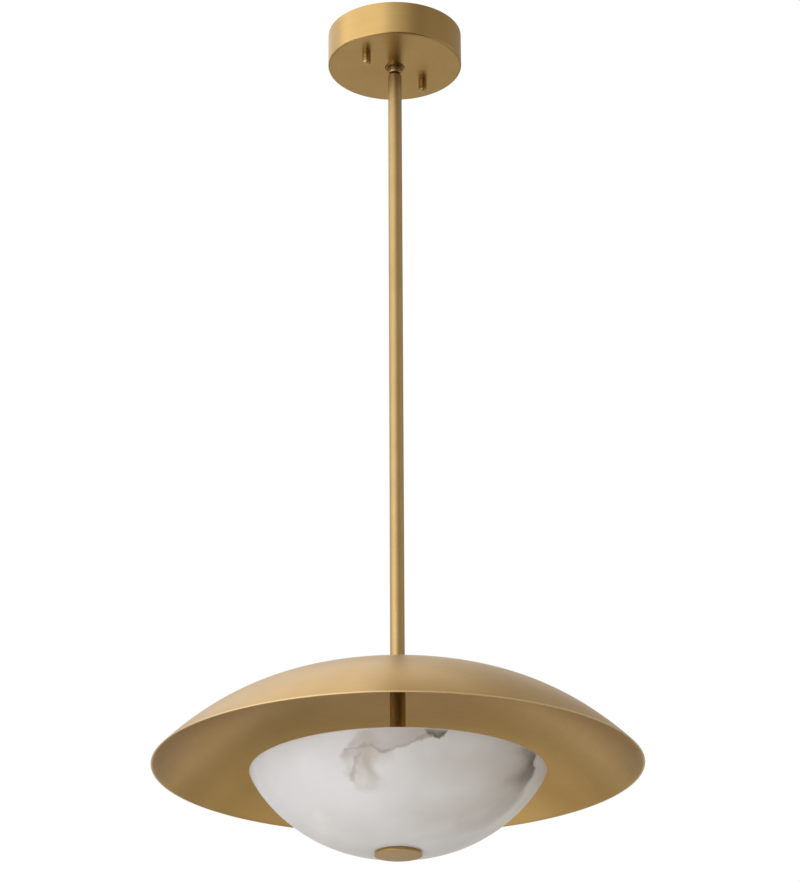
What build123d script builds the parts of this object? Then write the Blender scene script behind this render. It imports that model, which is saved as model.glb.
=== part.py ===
from build123d import *
import os
from math import acos, asin, atan, atan2, cos, pi, radians, sin, sqrt

# Alabaster pendant light, in millimetres, with +Z up.
# The origin is in the ceiling plane, on the axis of the canopy, and the light hangs below it.

# Fits, each as play on the radius or between two faces
thread_play = 0.05
running_play = 0.05
press_play = 0.02
passage_play = 0.3

# Sides of a hex nut or of a hex screw head
hex_sides = 6

# Canopy: a drawn brass cup that covers the ceiling box
canopy_diameter = 128.4
canopy_height = 34.3
canopy_wall = 1.2
canopy_edge_round = 2.0

# Mounting plate: a round steel plate, with a slot for each of the ceiling box's two screws
plate_diameter = 100.0
plate_thickness = 2.0
wire_hole_diameter = 40.0
slot_count = 2
slot_spacing = 79.4
slot_width = 5.0
slot_travel = 9.5

# Studs and barrel nuts that hold the canopy up
stud_count = 2
stud_diameter = 4.0
stud_spacing = 75.9
stud_bearing = 44.8
lock_nut_width = 7.0
lock_nut_thickness = 3.2
canopy_nut_diameter = 8.0
canopy_nut_length = 12.0
canopy_nut_thread = 8.0
canopy_nut_round = 2.8

# Earth screw in the plate
earth_screw_diameter = 4.0
earth_screw_length = 7.0
earth_head_width = 8.0
earth_head_thickness = 3.0
earth_screw_offset = 35.0

# Terminal block under the plate
block_length = 38.0
block_width = 16.0
block_base = 6.0
block_offset = 35.0
pole_count = 3
pole_pitch = 12.0
pole_length = 8.0
pole_width = 7.0
pole_tube_diameter = 5.0
pole_bore_diameter = 3.2
pole_screw_count = 2
pole_screw_diameter = 3.0
pole_screw_length = 4.0
pole_screw_spacing = 8.0
block_screw_diameter = 3.0
block_screw_head_diameter = 4.6
block_screw_head_thickness = 1.6

# Ball swivel that lets the stem hang plumb
ball_diameter = 20.0
ball_lift = 3.3
ball_top = 7.0
ball_bottom = 4.2
seat_diameter = 32.0
seat_height = 10.0
seat_spigot_diameter = 23.0
tilt_limit = 20.0
key_pin_diameter = 2.0
key_width = 3.2
key_height = 3.6
key_length = 2.6
key_sink = 0.4
key_end_gap = 0.1
slot_end_angle = 1.0

# Threaded tube that joins the stem's pieces, and its hex nuts
nipple_diameter = 10.0
nipple_bore_diameter = 7.0
nipple_engagement = 14.0
ball_thread_depth = 10.0
nut_width = 14.0
nut_thickness = 5.0
nut_corner = 0.7
lock_washer_diameter = 17.0
lock_washer_thickness = 1.6
lock_washer_slit = 1.5

# Stem
collar_diameter = 13.0
collar_thickness = 6.1
collar_edge = 0.4
neck_gap = 2.2
stem_diameter = 13.0
stem_length = 613.9
stem_edge = 0.6
lower_stem_diameter = 13.8
lower_stem_length = 60.0

# Shade: a spun dome, height x (1 - (radius / rim radius) ^ curve) above its rim.
# Its diameter is that of the sharp rim, before the rim is rounded.
shade_diameter = 431.0
shade_height = 79.1
shade_curve = 2.8
shade_wall = 1.2
shade_crown_diameter = 36.0
shade_rim_round = 0.4
shade_washer_diameter = 32.0
shade_washer_thickness = 2.0

# Lamp hub: a six-sided box on the stem, with a lamp holder on every other side
hub_width = 40.0
hub_height = 24.0
hub_wall = 2.0
hub_cover_thickness = 2.5
hub_cover_lip = 2.0
hub_window_diameter = 5.0
lamp_count = 3
first_lamp_bearing = 90.0
socket_diameter = 18.0
socket_length = 20.0
socket_edge = 0.8
socket_spigot_diameter = 12.0
socket_wire_diameter = 6.0
socket_recess_depth = 10.0
socket_nut_diameter = 16.0
socket_nut_thickness = 2.5
bulb_diameter = 14.0
bulb_length = 38.0
bulb_base_width = 11.0
bulb_base_thickness = 6.0
bulb_pin_diameter = 1.2
bulb_pin_spacing = 6.0
bulb_pin_length = 5.0

# Alabaster bowl: (radius / rim radius) ^ side + (depth / bowl depth) ^ belly = 1.
# Its diameter, too, is that of the sharp rim.
bowl_diameter = 260.0
bowl_depth = 73.4
bowl_side = 2.287
bowl_belly = 1.243
bowl_wall = 8.0
bowl_floor = 9.0
bowl_rim_round = 2.0
bowl_drop = 2.5
bowl_hole_diameter = 20.0
bowl_bush_recess = 0.5
clamp_diameter = 48.0
clamp_plate_thickness = 2.0
clamp_gasket_thickness = 2.0
clamp_seat_margin = 2.0

# Finial: the disc that screws up under the bowl
finial_diameter = 42.0
finial_edge_round = 0.6
finial_plate = 1.6
finial_boss_diameter = 16.0
finial_boss_gap = 1.5
finial_seat_margin = 0.5
finial_gasket_diameter = 39.0
finial_gasket_thickness = 1.3
nipple_end_gap = 1.0

# Steps along a curve that follows a formula
curve_steps = 8

# Radii
canopy_radius = canopy_diameter / 2
ball_radius = ball_diameter / 2
nipple_radius = nipple_diameter / 2
nipple_bore = nipple_bore_diameter / 2
tapped_bore = nipple_radius + thread_play
stem_radius = stem_diameter / 2
shade_radius = shade_diameter / 2
crown_radius = shade_crown_diameter / 2
bowl_radius = bowl_diameter / 2
hub_apothem = hub_width / 2
hub_sides = 2 * lamp_count
hub_turn = first_lamp_bearing - 180 / hub_sides
boss_radius = finial_boss_diameter / 2
stud_radius = stud_diameter / 2
bulb_radius = bulb_diameter / 2


def dome_rise(radius, rim_radius, height):
    """Height of the shade's curve above its rim, at a radius."""
    return height * (1 - (radius / rim_radius) ** shade_curve)


def dome_slope(radius, rim_radius, height):
    """How steeply the shade's curve falls, at a radius."""
    return height * shade_curve / rim_radius * (radius / rim_radius) ** (shade_curve - 1)


def bowl_turn(rim_radius, foot_radius):
    """Turn along the bowl's curve at which it meets its flat foot."""
    return acos((foot_radius / rim_radius) ** (bowl_side / 2))


def bowl_sink(turn, depth):
    """Depth of the bowl's curve below its rim, at a turn."""
    return depth * sin(turn) ** (2 / bowl_belly)


# Levels of the ceiling fitting and the swivel
plate_under = -plate_thickness
canopy_face = -canopy_height
canopy_floor = canopy_face + canopy_wall
ball_centre = canopy_face + ball_lift
seat_top = canopy_floor + seat_height
collar_top = ball_centre - ball_bottom
collar_under = collar_top - collar_thickness
ball_thread_top = collar_top + ball_thread_depth
stem_top = collar_under - neck_gap

# Levels of the shade and of what clamps it
crown = stem_top - stem_length
shade_rim = crown - dome_rise(crown_radius, shade_radius, shade_height)
rim_lean = atan(dome_slope(shade_radius, shade_radius, shade_height))
inner_shade_radius = shade_radius - shade_wall / sin(rim_lean)
inner_shade_height = shade_height - shade_wall
shade_under = shade_rim + dome_rise(crown_radius, inner_shade_radius, inner_shade_height)
shade_washer_under = shade_under - shade_washer_thickness
shade_lock_under = shade_washer_under - lock_washer_thickness
lower_stem_top = shade_lock_under - nut_thickness
hub_top = lower_stem_top - lower_stem_length
lamp_level = hub_top - hub_height / 2
hub_under = hub_top - hub_height
hub_cover_under = hub_under - hub_cover_thickness
hub_lock_under = hub_cover_under - lock_washer_thickness

# Levels of the bowl and the finial
bowl_rim = shade_rim - bowl_drop
bowl_foot_radius = finial_diameter / 2 + finial_seat_margin
bowl_foot_turn = bowl_turn(bowl_radius, bowl_foot_radius)
bowl_foot = bowl_rim - bowl_sink(bowl_foot_turn, bowl_depth)
inner_bowl_radius = bowl_radius - bowl_wall
inner_foot_radius = clamp_diameter / 2 + clamp_seat_margin
inner_foot_turn = bowl_turn(inner_bowl_radius, inner_foot_radius)
inner_bowl_depth = (bowl_rim - bowl_foot - bowl_floor) / bowl_sink(inner_foot_turn, 1)
inner_foot = bowl_foot + bowl_floor
clamp_gasket_top = inner_foot + clamp_gasket_thickness
clamp_plate_top = clamp_gasket_top + clamp_plate_thickness
finial_seat = bowl_foot - finial_gasket_thickness
finial_under = finial_seat - finial_plate
finial_top = bowl_foot - passage_play
finial_boss_top = inner_foot - finial_boss_gap
nipple_end = finial_seat + nipple_end_gap

# Places of the lamp holders around the hub, and of the bulbs in them
lamp_bearings = [first_lamp_bearing + number * 360 / lamp_count for number in range(lamp_count)]
socket_end = hub_apothem + socket_length
socket_recess_floor = socket_end - socket_recess_depth
bulb_base_end = socket_recess_floor + passage_play
bulb_start = socket_end + passage_play
bulb_end = bulb_start + bulb_length

os.makedirs("parts", exist_ok=True)


def write(piece, name):
    """Labels a finished piece and writes it to its own file."""
    piece.label = name
    export_step(piece, f"parts/{name}.step")


def tube(outer_radius, inner_radius, bottom, top):
    """A plain round tube on the light's axis."""
    with BuildPart() as piece:
        with BuildSketch(Plane.XY.offset(bottom)):
            Circle(outer_radius)
            Circle(inner_radius, mode=Mode.SUBTRACT)
        extrude(amount=top - bottom)
    return piece.part


def hex_nut(bottom):
    """A hex nut on the threaded tube, its corners chamfered by a cone."""
    with BuildPart() as piece:
        with BuildSketch(Plane.XY.offset(bottom)):
            Circle(nut_width / 2 / cos(pi / hex_sides))
        extrude(amount=nut_thickness)
        chamfer(piece.edges().filter_by(GeomType.CIRCLE), length=nut_corner)
        with BuildSketch(Plane.XY.offset(bottom)):
            RegularPolygon(nut_width / 2, hex_sides, major_radius=False)
            Circle(tapped_bore, mode=Mode.SUBTRACT)
        extrude(amount=nut_thickness, mode=Mode.INTERSECT)
    return piece.part


def lock_washer(bottom):
    """A split spring washer on the threaded tube."""
    with BuildPart() as piece:
        with BuildSketch(Plane.XY.offset(bottom)):
            Circle(lock_washer_diameter / 2)
            Circle(tapped_bore, mode=Mode.SUBTRACT)
            with Locations((lock_washer_diameter / 2, 0)):
                Rectangle(lock_washer_diameter, lock_washer_slit, mode=Mode.SUBTRACT)
        extrude(amount=lock_washer_thickness)
    return piece.part


def fitting_plane(level):
    """A level of the ceiling fitting, with its own X along the line of the studs."""
    turn = radians(stud_bearing)
    return Plane(origin=(0, 0, level), x_dir=(cos(turn), sin(turn), 0), z_dir=(0, 0, 1))


def block_section(level):
    """The upright plane along the terminal block's length, with its own origin at a level."""
    turn = radians(stud_bearing)
    place = (-block_offset * sin(turn), block_offset * cos(turn), level)
    return Plane(origin=place, x_dir=(cos(turn), sin(turn), 0), z_dir=(sin(turn), -cos(turn), 0))


def lamp_face(bearing, distance):
    """A plane square to a lamp's axis, with its own X upright."""
    turn = radians(bearing)
    place = (distance * cos(turn), distance * sin(turn), lamp_level)
    return Plane(origin=place, x_dir=(0, 0, 1), z_dir=(cos(turn), sin(turn), 0))


def lamp_section(bearing):
    """The upright plane through a lamp's axis, with its own X outwards and its own Y up."""
    turn = radians(bearing)
    outwards = (cos(turn), sin(turn), 0)
    return Plane(origin=(0, 0, lamp_level), x_dir=outwards, z_dir=(sin(turn), -cos(turn), 0))


# Mounting plate
with BuildPart() as mounting_plate:
    with BuildSketch(Plane.XY.offset(plate_under)):
        Circle(plate_diameter / 2)
        Circle(wire_hole_diameter / 2, mode=Mode.SUBTRACT)
        with GridLocations(slot_spacing, 0, slot_count, 1):
            SlotCenterToCenter(slot_travel, slot_width, mode=Mode.SUBTRACT)
    extrude(amount=plate_thickness)
    with BuildSketch(fitting_plane(plate_under)):
        with GridLocations(stud_spacing, 0, stud_count, 1):
            Circle(stud_radius + thread_play)
        with Locations((0, -earth_screw_offset)):
            Circle(earth_screw_diameter / 2 + thread_play)
        with Locations((0, block_offset)):
            with GridLocations(pole_pitch, 0, pole_count - 1, 1):
                Circle(block_screw_diameter / 2 + thread_play)
    extrude(amount=plate_thickness, mode=Mode.SUBTRACT)
write(mounting_plate.part, "mounting_plate")

# Studs, their lock nuts under the plate, and the barrel nuts under the canopy
stud_end = canopy_face - canopy_nut_thread
with BuildPart() as canopy_studs:
    with BuildSketch(fitting_plane(stud_end)):
        with GridLocations(stud_spacing, 0, stud_count, 1):
            Circle(stud_radius)
    extrude(amount=-stud_end)
write(canopy_studs.part, "canopy_studs")

with BuildPart() as stud_lock_nuts:
    with BuildSketch(fitting_plane(plate_under - lock_nut_thickness)):
        with GridLocations(stud_spacing, 0, stud_count, 1):
            RegularPolygon(lock_nut_width / 2, hex_sides, major_radius=False)
            Circle(stud_radius + thread_play, mode=Mode.SUBTRACT)
    extrude(amount=lock_nut_thickness)
write(stud_lock_nuts.part, "stud_lock_nuts")

for number, side in enumerate((-1, 1), start=1):
    with BuildPart() as canopy_nut:
        with BuildSketch(fitting_plane(canopy_face)):
            with Locations((side * stud_spacing / 2, 0)):
                Circle(canopy_nut_diameter / 2)
        extrude(amount=-canopy_nut_length)
        fillet(canopy_nut.edges().group_by(Axis.Z)[0], radius=canopy_nut_round)
        with BuildSketch(fitting_plane(canopy_face)):
            with Locations((side * stud_spacing / 2, 0)):
                Circle(stud_radius + thread_play)
        extrude(amount=-canopy_nut_thread - running_play, mode=Mode.SUBTRACT)
    write(canopy_nut.part, f"canopy_nut_{number}")

# Earth screw
with BuildPart() as earth_screw:
    with BuildSketch(fitting_plane(plate_under - earth_screw_length)):
        with Locations((0, -earth_screw_offset)):
            Circle(earth_screw_diameter / 2)
    extrude(amount=earth_screw_length + plate_thickness)
    with BuildSketch(fitting_plane(plate_under - earth_screw_length)):
        with Locations((0, -earth_screw_offset)):
            RegularPolygon(earth_head_width / 2, hex_sides, major_radius=False)
    extrude(amount=-earth_head_thickness)
write(earth_screw.part, "earth_screw")

# Terminal block, its brass tubes, their clamping screws and the screws that hold it to the plate
block_under = plate_under - block_base
pole_under = block_under - pole_length
tube_level = block_under - pole_length / 2
with BuildPart() as terminal_block:
    with BuildSketch(fitting_plane(plate_under)):
        with Locations((0, block_offset)):
            Rectangle(block_length, block_width)
    extrude(amount=-block_base)
    with BuildSketch(fitting_plane(block_under)):
        with Locations((0, block_offset)):
            with GridLocations(pole_pitch, 0, pole_count, 1):
                Rectangle(pole_width, block_width)
    extrude(amount=-pole_length)
    with BuildSketch(block_section(tube_level)):
        with GridLocations(pole_pitch, 0, pole_count, 1):
            Circle(pole_tube_diameter / 2 + press_play)
    extrude(amount=block_width, both=True, mode=Mode.SUBTRACT)
    with BuildSketch(fitting_plane(pole_under)):
        with Locations((0, block_offset)):
            with GridLocations(pole_pitch, pole_screw_spacing, pole_count, pole_screw_count):
                Circle(pole_screw_diameter / 2 + passage_play)
    extrude(amount=pole_length / 2, mode=Mode.SUBTRACT)
    with BuildSketch(fitting_plane(block_under)):
        with Locations((0, block_offset)):
            with GridLocations(pole_pitch, 0, pole_count - 1, 1):
                Circle(block_screw_diameter / 2 + thread_play)
    extrude(amount=block_base, mode=Mode.SUBTRACT)
write(terminal_block.part, "terminal_block")

with BuildPart() as terminal_tubes:
    with BuildSketch(block_section(tube_level)):
        with GridLocations(pole_pitch, 0, pole_count, 1):
            Circle(pole_tube_diameter / 2)
            Circle(pole_bore_diameter / 2, mode=Mode.SUBTRACT)
    extrude(amount=block_width / 2, both=True)
    with BuildSketch(fitting_plane(pole_under)):
        with Locations((0, block_offset)):
            with GridLocations(pole_pitch, pole_screw_spacing, pole_count, pole_screw_count):
                Circle(pole_screw_diameter / 2 + thread_play)
    extrude(amount=pole_length / 2, mode=Mode.SUBTRACT)
write(terminal_tubes.part, "terminal_tubes")

with BuildPart() as terminal_screws:
    with BuildSketch(fitting_plane(pole_under)):
        with Locations((0, block_offset)):
            with GridLocations(pole_pitch, pole_screw_spacing, pole_count, pole_screw_count):
                Circle(pole_screw_diameter / 2)
    extrude(amount=pole_screw_length)
write(terminal_screws.part, "terminal_screws")

with BuildPart() as block_screws:
    with BuildSketch(fitting_plane(block_under)):
        with Locations((0, block_offset)):
            with GridLocations(pole_pitch, 0, pole_count - 1, 1):
                Circle(block_screw_diameter / 2)
    extrude(amount=block_base + plate_thickness)
    with BuildSketch(fitting_plane(block_under)):
        with Locations((0, block_offset)):
            with GridLocations(pole_pitch, 0, pole_count - 1, 1):
                Circle(block_screw_head_diameter / 2)
    extrude(amount=-block_screw_head_thickness)
write(block_screws.part, "block_screws")

# Canopy
with BuildPart() as canopy:
    with BuildSketch(Plane.XY.offset(canopy_face)):
        Circle(canopy_radius)
    extrude(amount=canopy_height)
    fillet(canopy.edges().group_by(Axis.Z)[0], radius=canopy_edge_round)
    with BuildSketch(Plane.XY.offset(canopy_floor)):
        Circle(canopy_radius - canopy_wall)
    extrude(amount=canopy_height, mode=Mode.SUBTRACT)
    with BuildSketch(Plane.XY.offset(canopy_face)):
        Circle(seat_spigot_diameter / 2 + press_play)
    extrude(amount=canopy_wall, mode=Mode.SUBTRACT)
    with BuildSketch(fitting_plane(canopy_face)):
        with GridLocations(stud_spacing, 0, stud_count, 1):
            Circle(stud_radius + passage_play)
    extrude(amount=canopy_wall, mode=Mode.SUBTRACT)
write(canopy.part, "canopy")

# Swivel seat: a bush that drops into the canopy's hole and cups the ball
seat_bore = ball_radius + running_play
seat_mouth = sqrt(seat_bore**2 - ball_lift**2)
seat_turn = asin(ball_lift / seat_bore) / 2
seat_middle = (seat_bore * cos(seat_turn), ball_centre - seat_bore * sin(seat_turn))
with BuildPart() as swivel_seat:
    with BuildSketch(Plane.XZ):
        with BuildLine():
            rest = ThreePointArc((seat_mouth, canopy_face), seat_middle, (seat_bore, ball_centre))
            Polyline(
                rest @ 1,
                (seat_bore, seat_top),
                (seat_diameter / 2, seat_top),
                (seat_diameter / 2, canopy_floor),
                (seat_spigot_diameter / 2, canopy_floor),
                (seat_spigot_diameter / 2, canopy_face),
                rest @ 0,
            )
        make_face()
    revolve(axis=Axis.Z)
    with BuildSketch(Plane.ZX):
        with Locations((ball_centre, 0)):
            Circle(key_pin_diameter / 2 + press_play)
    extrude(amount=seat_diameter, mode=Mode.SUBTRACT)
write(swivel_seat.part, "swivel_seat")

# Pin and sliding key, at the back, that stop the stem from twisting in its seat
key_outer = ball_radius - key_sink
key_inner = key_outer - key_length
key_slot_floor = key_inner - key_end_gap
with BuildPart() as key_pin:
    with BuildSketch(Plane.ZX.offset(key_inner)):
        with Locations((ball_centre, 0)):
            Circle(key_pin_diameter / 2)
    extrude(amount=seat_diameter / 2 - key_inner)
write(key_pin.part, "key_pin")

with BuildPart() as swivel_key:
    with BuildSketch(Plane.ZX.offset(key_inner)):
        with Locations((ball_centre, 0)):
            Rectangle(key_height, key_width)
            Circle(key_pin_diameter / 2 + running_play, mode=Mode.SUBTRACT)
    extrude(amount=key_length)
write(swivel_key.part, "swivel_key")

# Ball, with a slot for the key along its back
ball_top_radius = sqrt(ball_radius**2 - ball_top**2)
ball_bottom_radius = sqrt(ball_radius**2 - ball_bottom**2)
key_slot_turn = radians(tilt_limit + slot_end_angle) + atan2(key_height / 2, key_inner)
key_slot_reach = ball_radius / cos(key_slot_turn)
with BuildPart() as swivel_ball:
    with BuildSketch(Plane.XZ):
        with BuildLine():
            side = ThreePointArc(
                (ball_bottom_radius, collar_top),
                (ball_radius, ball_centre),
                (ball_top_radius, ball_centre + ball_top),
            )
            Polyline(
                side @ 1,
                (nipple_bore, ball_centre + ball_top),
                (nipple_bore, ball_thread_top),
                (tapped_bore, ball_thread_top),
                (tapped_bore, collar_top),
                side @ 0,
            )
        make_face()
    revolve(axis=Axis.Z)
    with BuildSketch(Plane.YZ):
        with Locations((0, ball_centre)):
            Polygon(
                (0, 0),
                (key_slot_reach * cos(key_slot_turn), -key_slot_reach * sin(key_slot_turn)),
                (key_slot_reach * cos(key_slot_turn), key_slot_reach * sin(key_slot_turn)),
                align=None,
            )
            Circle(key_slot_floor, mode=Mode.SUBTRACT)
    extrude(amount=key_width / 2 + running_play, both=True, mode=Mode.SUBTRACT)
write(swivel_ball.part, "swivel_ball")

# Collar, threaded tube and stem under the ball
with BuildPart() as neck_collar:
    with BuildSketch(Plane.XY.offset(collar_under)):
        Circle(collar_diameter / 2)
        Circle(tapped_bore, mode=Mode.SUBTRACT)
    extrude(amount=collar_thickness)
    outer_edges = neck_collar.edges().filter_by(GeomType.CIRCLE).sort_by(SortBy.RADIUS)[-2:]
    chamfer(outer_edges, length=collar_edge)
write(neck_collar.part, "neck_collar")

neck_nipple = tube(nipple_radius, nipple_bore, stem_top - nipple_engagement, ball_thread_top)
write(neck_nipple, "neck_nipple")

with BuildPart() as stem_tube:
    with BuildSketch(Plane.XY.offset(crown)):
        Circle(stem_radius)
        Circle(tapped_bore, mode=Mode.SUBTRACT)
    extrude(amount=stem_length)
    top_edges = stem_tube.edges().group_by(Axis.Z)[-1]
    chamfer(top_edges.sort_by(SortBy.RADIUS)[-1], length=stem_edge)
write(stem_tube.part, "stem_tube")

# Shade
shade_hole = nipple_radius + passage_play
with BuildPart() as shade:
    with BuildSketch(Plane.XZ):
        with BuildLine():
            skins = []
            for rim_radius, height in (
                (shade_radius, shade_height),
                (inner_shade_radius, inner_shade_height),
            ):
                stride = (rim_radius - crown_radius) / curve_steps
                radii = [crown_radius + stride * step for step in range(curve_steps + 1)]
                points = [(radius, shade_rim + dome_rise(radius, rim_radius, height)) for radius in radii]
                falls = [dome_slope(radius, rim_radius, height) for radius in (crown_radius, rim_radius)]
                skins.append(Spline(*points, tangents=[(1, -fall) for fall in falls]))
            outside, inside = skins
            Line(outside @ 1, inside @ 1)
            Polyline(inside @ 0, (shade_hole, shade_under), (shade_hole, crown), outside @ 0)
        make_face()
    revolve(axis=Axis.Z)
    fillet(shade.edges().group_by(Axis.Z)[0], radius=shade_rim_round)
write(shade.part, "shade")

# What clamps the shade to the stem: a threaded tube, a backing washer, a lock washer and a nut
shade_nipple = tube(nipple_radius, nipple_bore, lower_stem_top - nipple_engagement, crown + nipple_engagement)
write(shade_nipple, "shade_nipple")
shade_washer = tube(shade_washer_diameter / 2, tapped_bore, shade_washer_under, shade_under)
write(shade_washer, "shade_washer")
write(lock_washer(shade_lock_under), "shade_lock_washer")
write(hex_nut(lower_stem_top), "shade_nut")
lower_stem = tube(lower_stem_diameter / 2, tapped_bore, hub_top, lower_stem_top)
write(lower_stem, "lower_stem")

# Lamp hub and its cover
socket_spigot_hole = socket_spigot_diameter / 2 + thread_play
with BuildPart() as lamp_hub:
    with BuildSketch(Plane.XY.offset(hub_under)):
        RegularPolygon(hub_apothem, hub_sides, major_radius=False, rotation=hub_turn)
    extrude(amount=hub_height)
    with BuildSketch(Plane.XY.offset(hub_under)):
        RegularPolygon(hub_apothem - hub_wall, hub_sides, major_radius=False, rotation=hub_turn)
    extrude(amount=hub_height - hub_wall, mode=Mode.SUBTRACT)
    with BuildSketch(Plane.XY.offset(hub_under)):
        Circle(tapped_bore)
    extrude(amount=hub_height, mode=Mode.SUBTRACT)
    for bearing in lamp_bearings:
        with BuildSketch(lamp_face(bearing, hub_apothem)):
            Circle(socket_spigot_hole)
        extrude(amount=-hub_wall, mode=Mode.SUBTRACT)
write(lamp_hub.part, "lamp_hub")

with BuildPart() as hub_cover:
    with BuildSketch(Plane.XY.offset(hub_cover_under)):
        RegularPolygon(hub_apothem, hub_sides, major_radius=False, rotation=hub_turn)
    extrude(amount=hub_cover_thickness)
    with BuildSketch(Plane.XY.offset(hub_under)):
        lip_apothem = hub_apothem - hub_wall - running_play
        RegularPolygon(lip_apothem, hub_sides, major_radius=False, rotation=hub_turn)
    extrude(amount=hub_cover_lip)
    with BuildSketch(Plane.XY.offset(hub_cover_under)):
        Circle(tapped_bore)
    extrude(amount=hub_cover_thickness + hub_cover_lip, mode=Mode.SUBTRACT)
write(hub_cover.part, "hub_cover")
write(lock_washer(hub_lock_under), "hub_lock_washer")
write(hex_nut(hub_lock_under - nut_thickness), "hub_nut")

# Threaded tube that runs from the lower stem through the hub and the bowl, with a window for the leads
with BuildPart() as bowl_nipple:
    with BuildSketch(Plane.XY.offset(nipple_end)):
        Circle(nipple_radius)
        Circle(nipple_bore, mode=Mode.SUBTRACT)
    extrude(amount=hub_top + nipple_engagement - nipple_end)
    with BuildSketch(lamp_face(first_lamp_bearing, 0)):
        Circle(hub_window_diameter / 2)
    extrude(amount=nipple_diameter, mode=Mode.SUBTRACT)
write(bowl_nipple.part, "bowl_nipple")

# Lamp holders, bulbs and their pins
pin_places = [(0, side * bulb_pin_spacing / 2) for side in (-1, 1)]
spigot_length = hub_wall + socket_nut_thickness
for number, bearing in enumerate(lamp_bearings, start=1):
    with BuildPart() as lamp_socket:
        with BuildSketch(lamp_face(bearing, hub_apothem)):
            Circle(socket_diameter / 2)
        extrude(amount=socket_length)
        fillet(lamp_socket.edges().filter_by(GeomType.CIRCLE), radius=socket_edge)
        with BuildSketch(lamp_face(bearing, hub_apothem)):
            Circle(socket_spigot_diameter / 2)
        extrude(amount=-spigot_length)
        with BuildSketch(lamp_face(bearing, hub_apothem)):
            Circle(socket_wire_diameter / 2)
        extrude(amount=-spigot_length, mode=Mode.SUBTRACT)
        with BuildSketch(lamp_face(bearing, socket_end)):
            Rectangle(bulb_base_thickness + 2 * passage_play, bulb_base_width + 2 * passage_play)
        extrude(amount=-socket_recess_depth, mode=Mode.SUBTRACT)
        with BuildSketch(lamp_face(bearing, socket_recess_floor)):
            with Locations(*pin_places):
                Circle(bulb_pin_diameter / 2 + running_play)
        extrude(amount=-bulb_pin_length, mode=Mode.SUBTRACT)
    write(lamp_socket.part, f"lamp_socket_{number}")

    with BuildPart() as bulb:
        with BuildSketch(lamp_section(bearing)):
            with BuildLine():
                tip = RadiusArc((bulb_end - bulb_radius, bulb_radius), (bulb_end, 0), bulb_radius)
                Polyline(tip @ 1, (bulb_start, 0), (bulb_start, bulb_radius), tip @ 0)
            make_face()
        revolve(axis=Axis(origin=(0, 0, lamp_level), direction=lamp_section(bearing).x_dir))
        with BuildSketch(lamp_face(bearing, bulb_base_end)):
            Rectangle(bulb_base_thickness, bulb_base_width)
        extrude(amount=bulb_start - bulb_base_end)
    write(bulb.part, f"bulb_{number}")

with BuildPart() as bulb_pins:
    for bearing in lamp_bearings:
        with BuildSketch(lamp_face(bearing, bulb_base_end)):
            with Locations(*pin_places):
                Circle(bulb_pin_diameter / 2)
        extrude(amount=-bulb_pin_length)
write(bulb_pins.part, "bulb_pins")

with BuildPart() as socket_nuts:
    for bearing in lamp_bearings:
        with BuildSketch(lamp_face(bearing, hub_apothem - hub_wall)):
            Circle(socket_nut_diameter / 2)
            Circle(socket_spigot_hole, mode=Mode.SUBTRACT)
        extrude(amount=-socket_nut_thickness)
write(socket_nuts.part, "socket_nuts")

# Alabaster bowl
with BuildPart() as alabaster_bowl:
    with BuildSketch(Plane.XZ):
        with BuildLine():
            skins = []
            for rim_radius, depth, foot_turn in (
                (bowl_radius, bowl_depth, bowl_foot_turn),
                (inner_bowl_radius, inner_bowl_depth, inner_foot_turn),
            ):
                turns = [foot_turn * step / curve_steps for step in range(curve_steps + 1)]
                radii = [rim_radius * cos(turn) ** (2 / bowl_side) for turn in turns]
                levels = [bowl_rim - bowl_sink(turn, depth) for turn in turns]
                skins.append(Spline(*zip(radii, levels)))
            outside, inside = skins
            hole = bowl_hole_diameter / 2
            Polyline(outside @ 1, (hole, bowl_foot), (hole, inner_foot), inside @ 1)
            Line(inside @ 0, outside @ 0)
        make_face()
    revolve(axis=Axis.Z)
    fillet(alabaster_bowl.edges().group_by(Axis.Z)[-1], radius=bowl_rim_round)
write(alabaster_bowl.part, "alabaster_bowl")

# What clamps the bowl: a nut, a plate and a gasket above it, a bush in its hole, a gasket below it
write(hex_nut(clamp_plate_top), "bowl_stop_nut")
clamp_plate = tube(clamp_diameter / 2, tapped_bore, clamp_gasket_top, clamp_plate_top)
write(clamp_plate, "clamp_plate")
clamp_gasket = tube(clamp_diameter / 2, tapped_bore, inner_foot, clamp_gasket_top)
write(clamp_gasket, "clamp_gasket")
bowl_bush = tube(
    bowl_hole_diameter / 2 - press_play,
    boss_radius + passage_play,
    bowl_foot + bowl_bush_recess,
    inner_foot - bowl_bush_recess,
)
write(bowl_bush, "bowl_bush")
finial_gasket = tube(finial_gasket_diameter / 2, boss_radius + passage_play, finial_seat, bowl_foot)
write(finial_gasket, "finial_gasket")

# Finial
finial_recess = finial_gasket_diameter / 2 + passage_play
with BuildPart() as finial:
    with BuildSketch(Plane.XZ):
        with BuildLine():
            Polyline(
                (0, finial_under),
                (finial_diameter / 2, finial_under),
                (finial_diameter / 2, finial_top),
                (finial_recess, finial_top),
                (finial_recess, finial_seat),
                (boss_radius, finial_seat),
                (boss_radius, finial_boss_top),
                (tapped_bore, finial_boss_top),
                (tapped_bore, finial_seat),
                (0, finial_seat),
                close=True,
            )
        make_face()
    revolve(axis=Axis.Z)
    fillet(finial.edges().group_by(Axis.Z)[0].filter_by(GeomType.CIRCLE), radius=finial_edge_round)
write(finial.part, "finial")
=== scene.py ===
"""Dresses the alabaster pendant light and sets up its studio.

Names that end in _mm are millimetres, and those that end in _deg are degrees. Everything else is in metres,
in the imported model's frame: +Z is up, and the origin is in the ceiling plane on the light's axis.
"""

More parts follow.
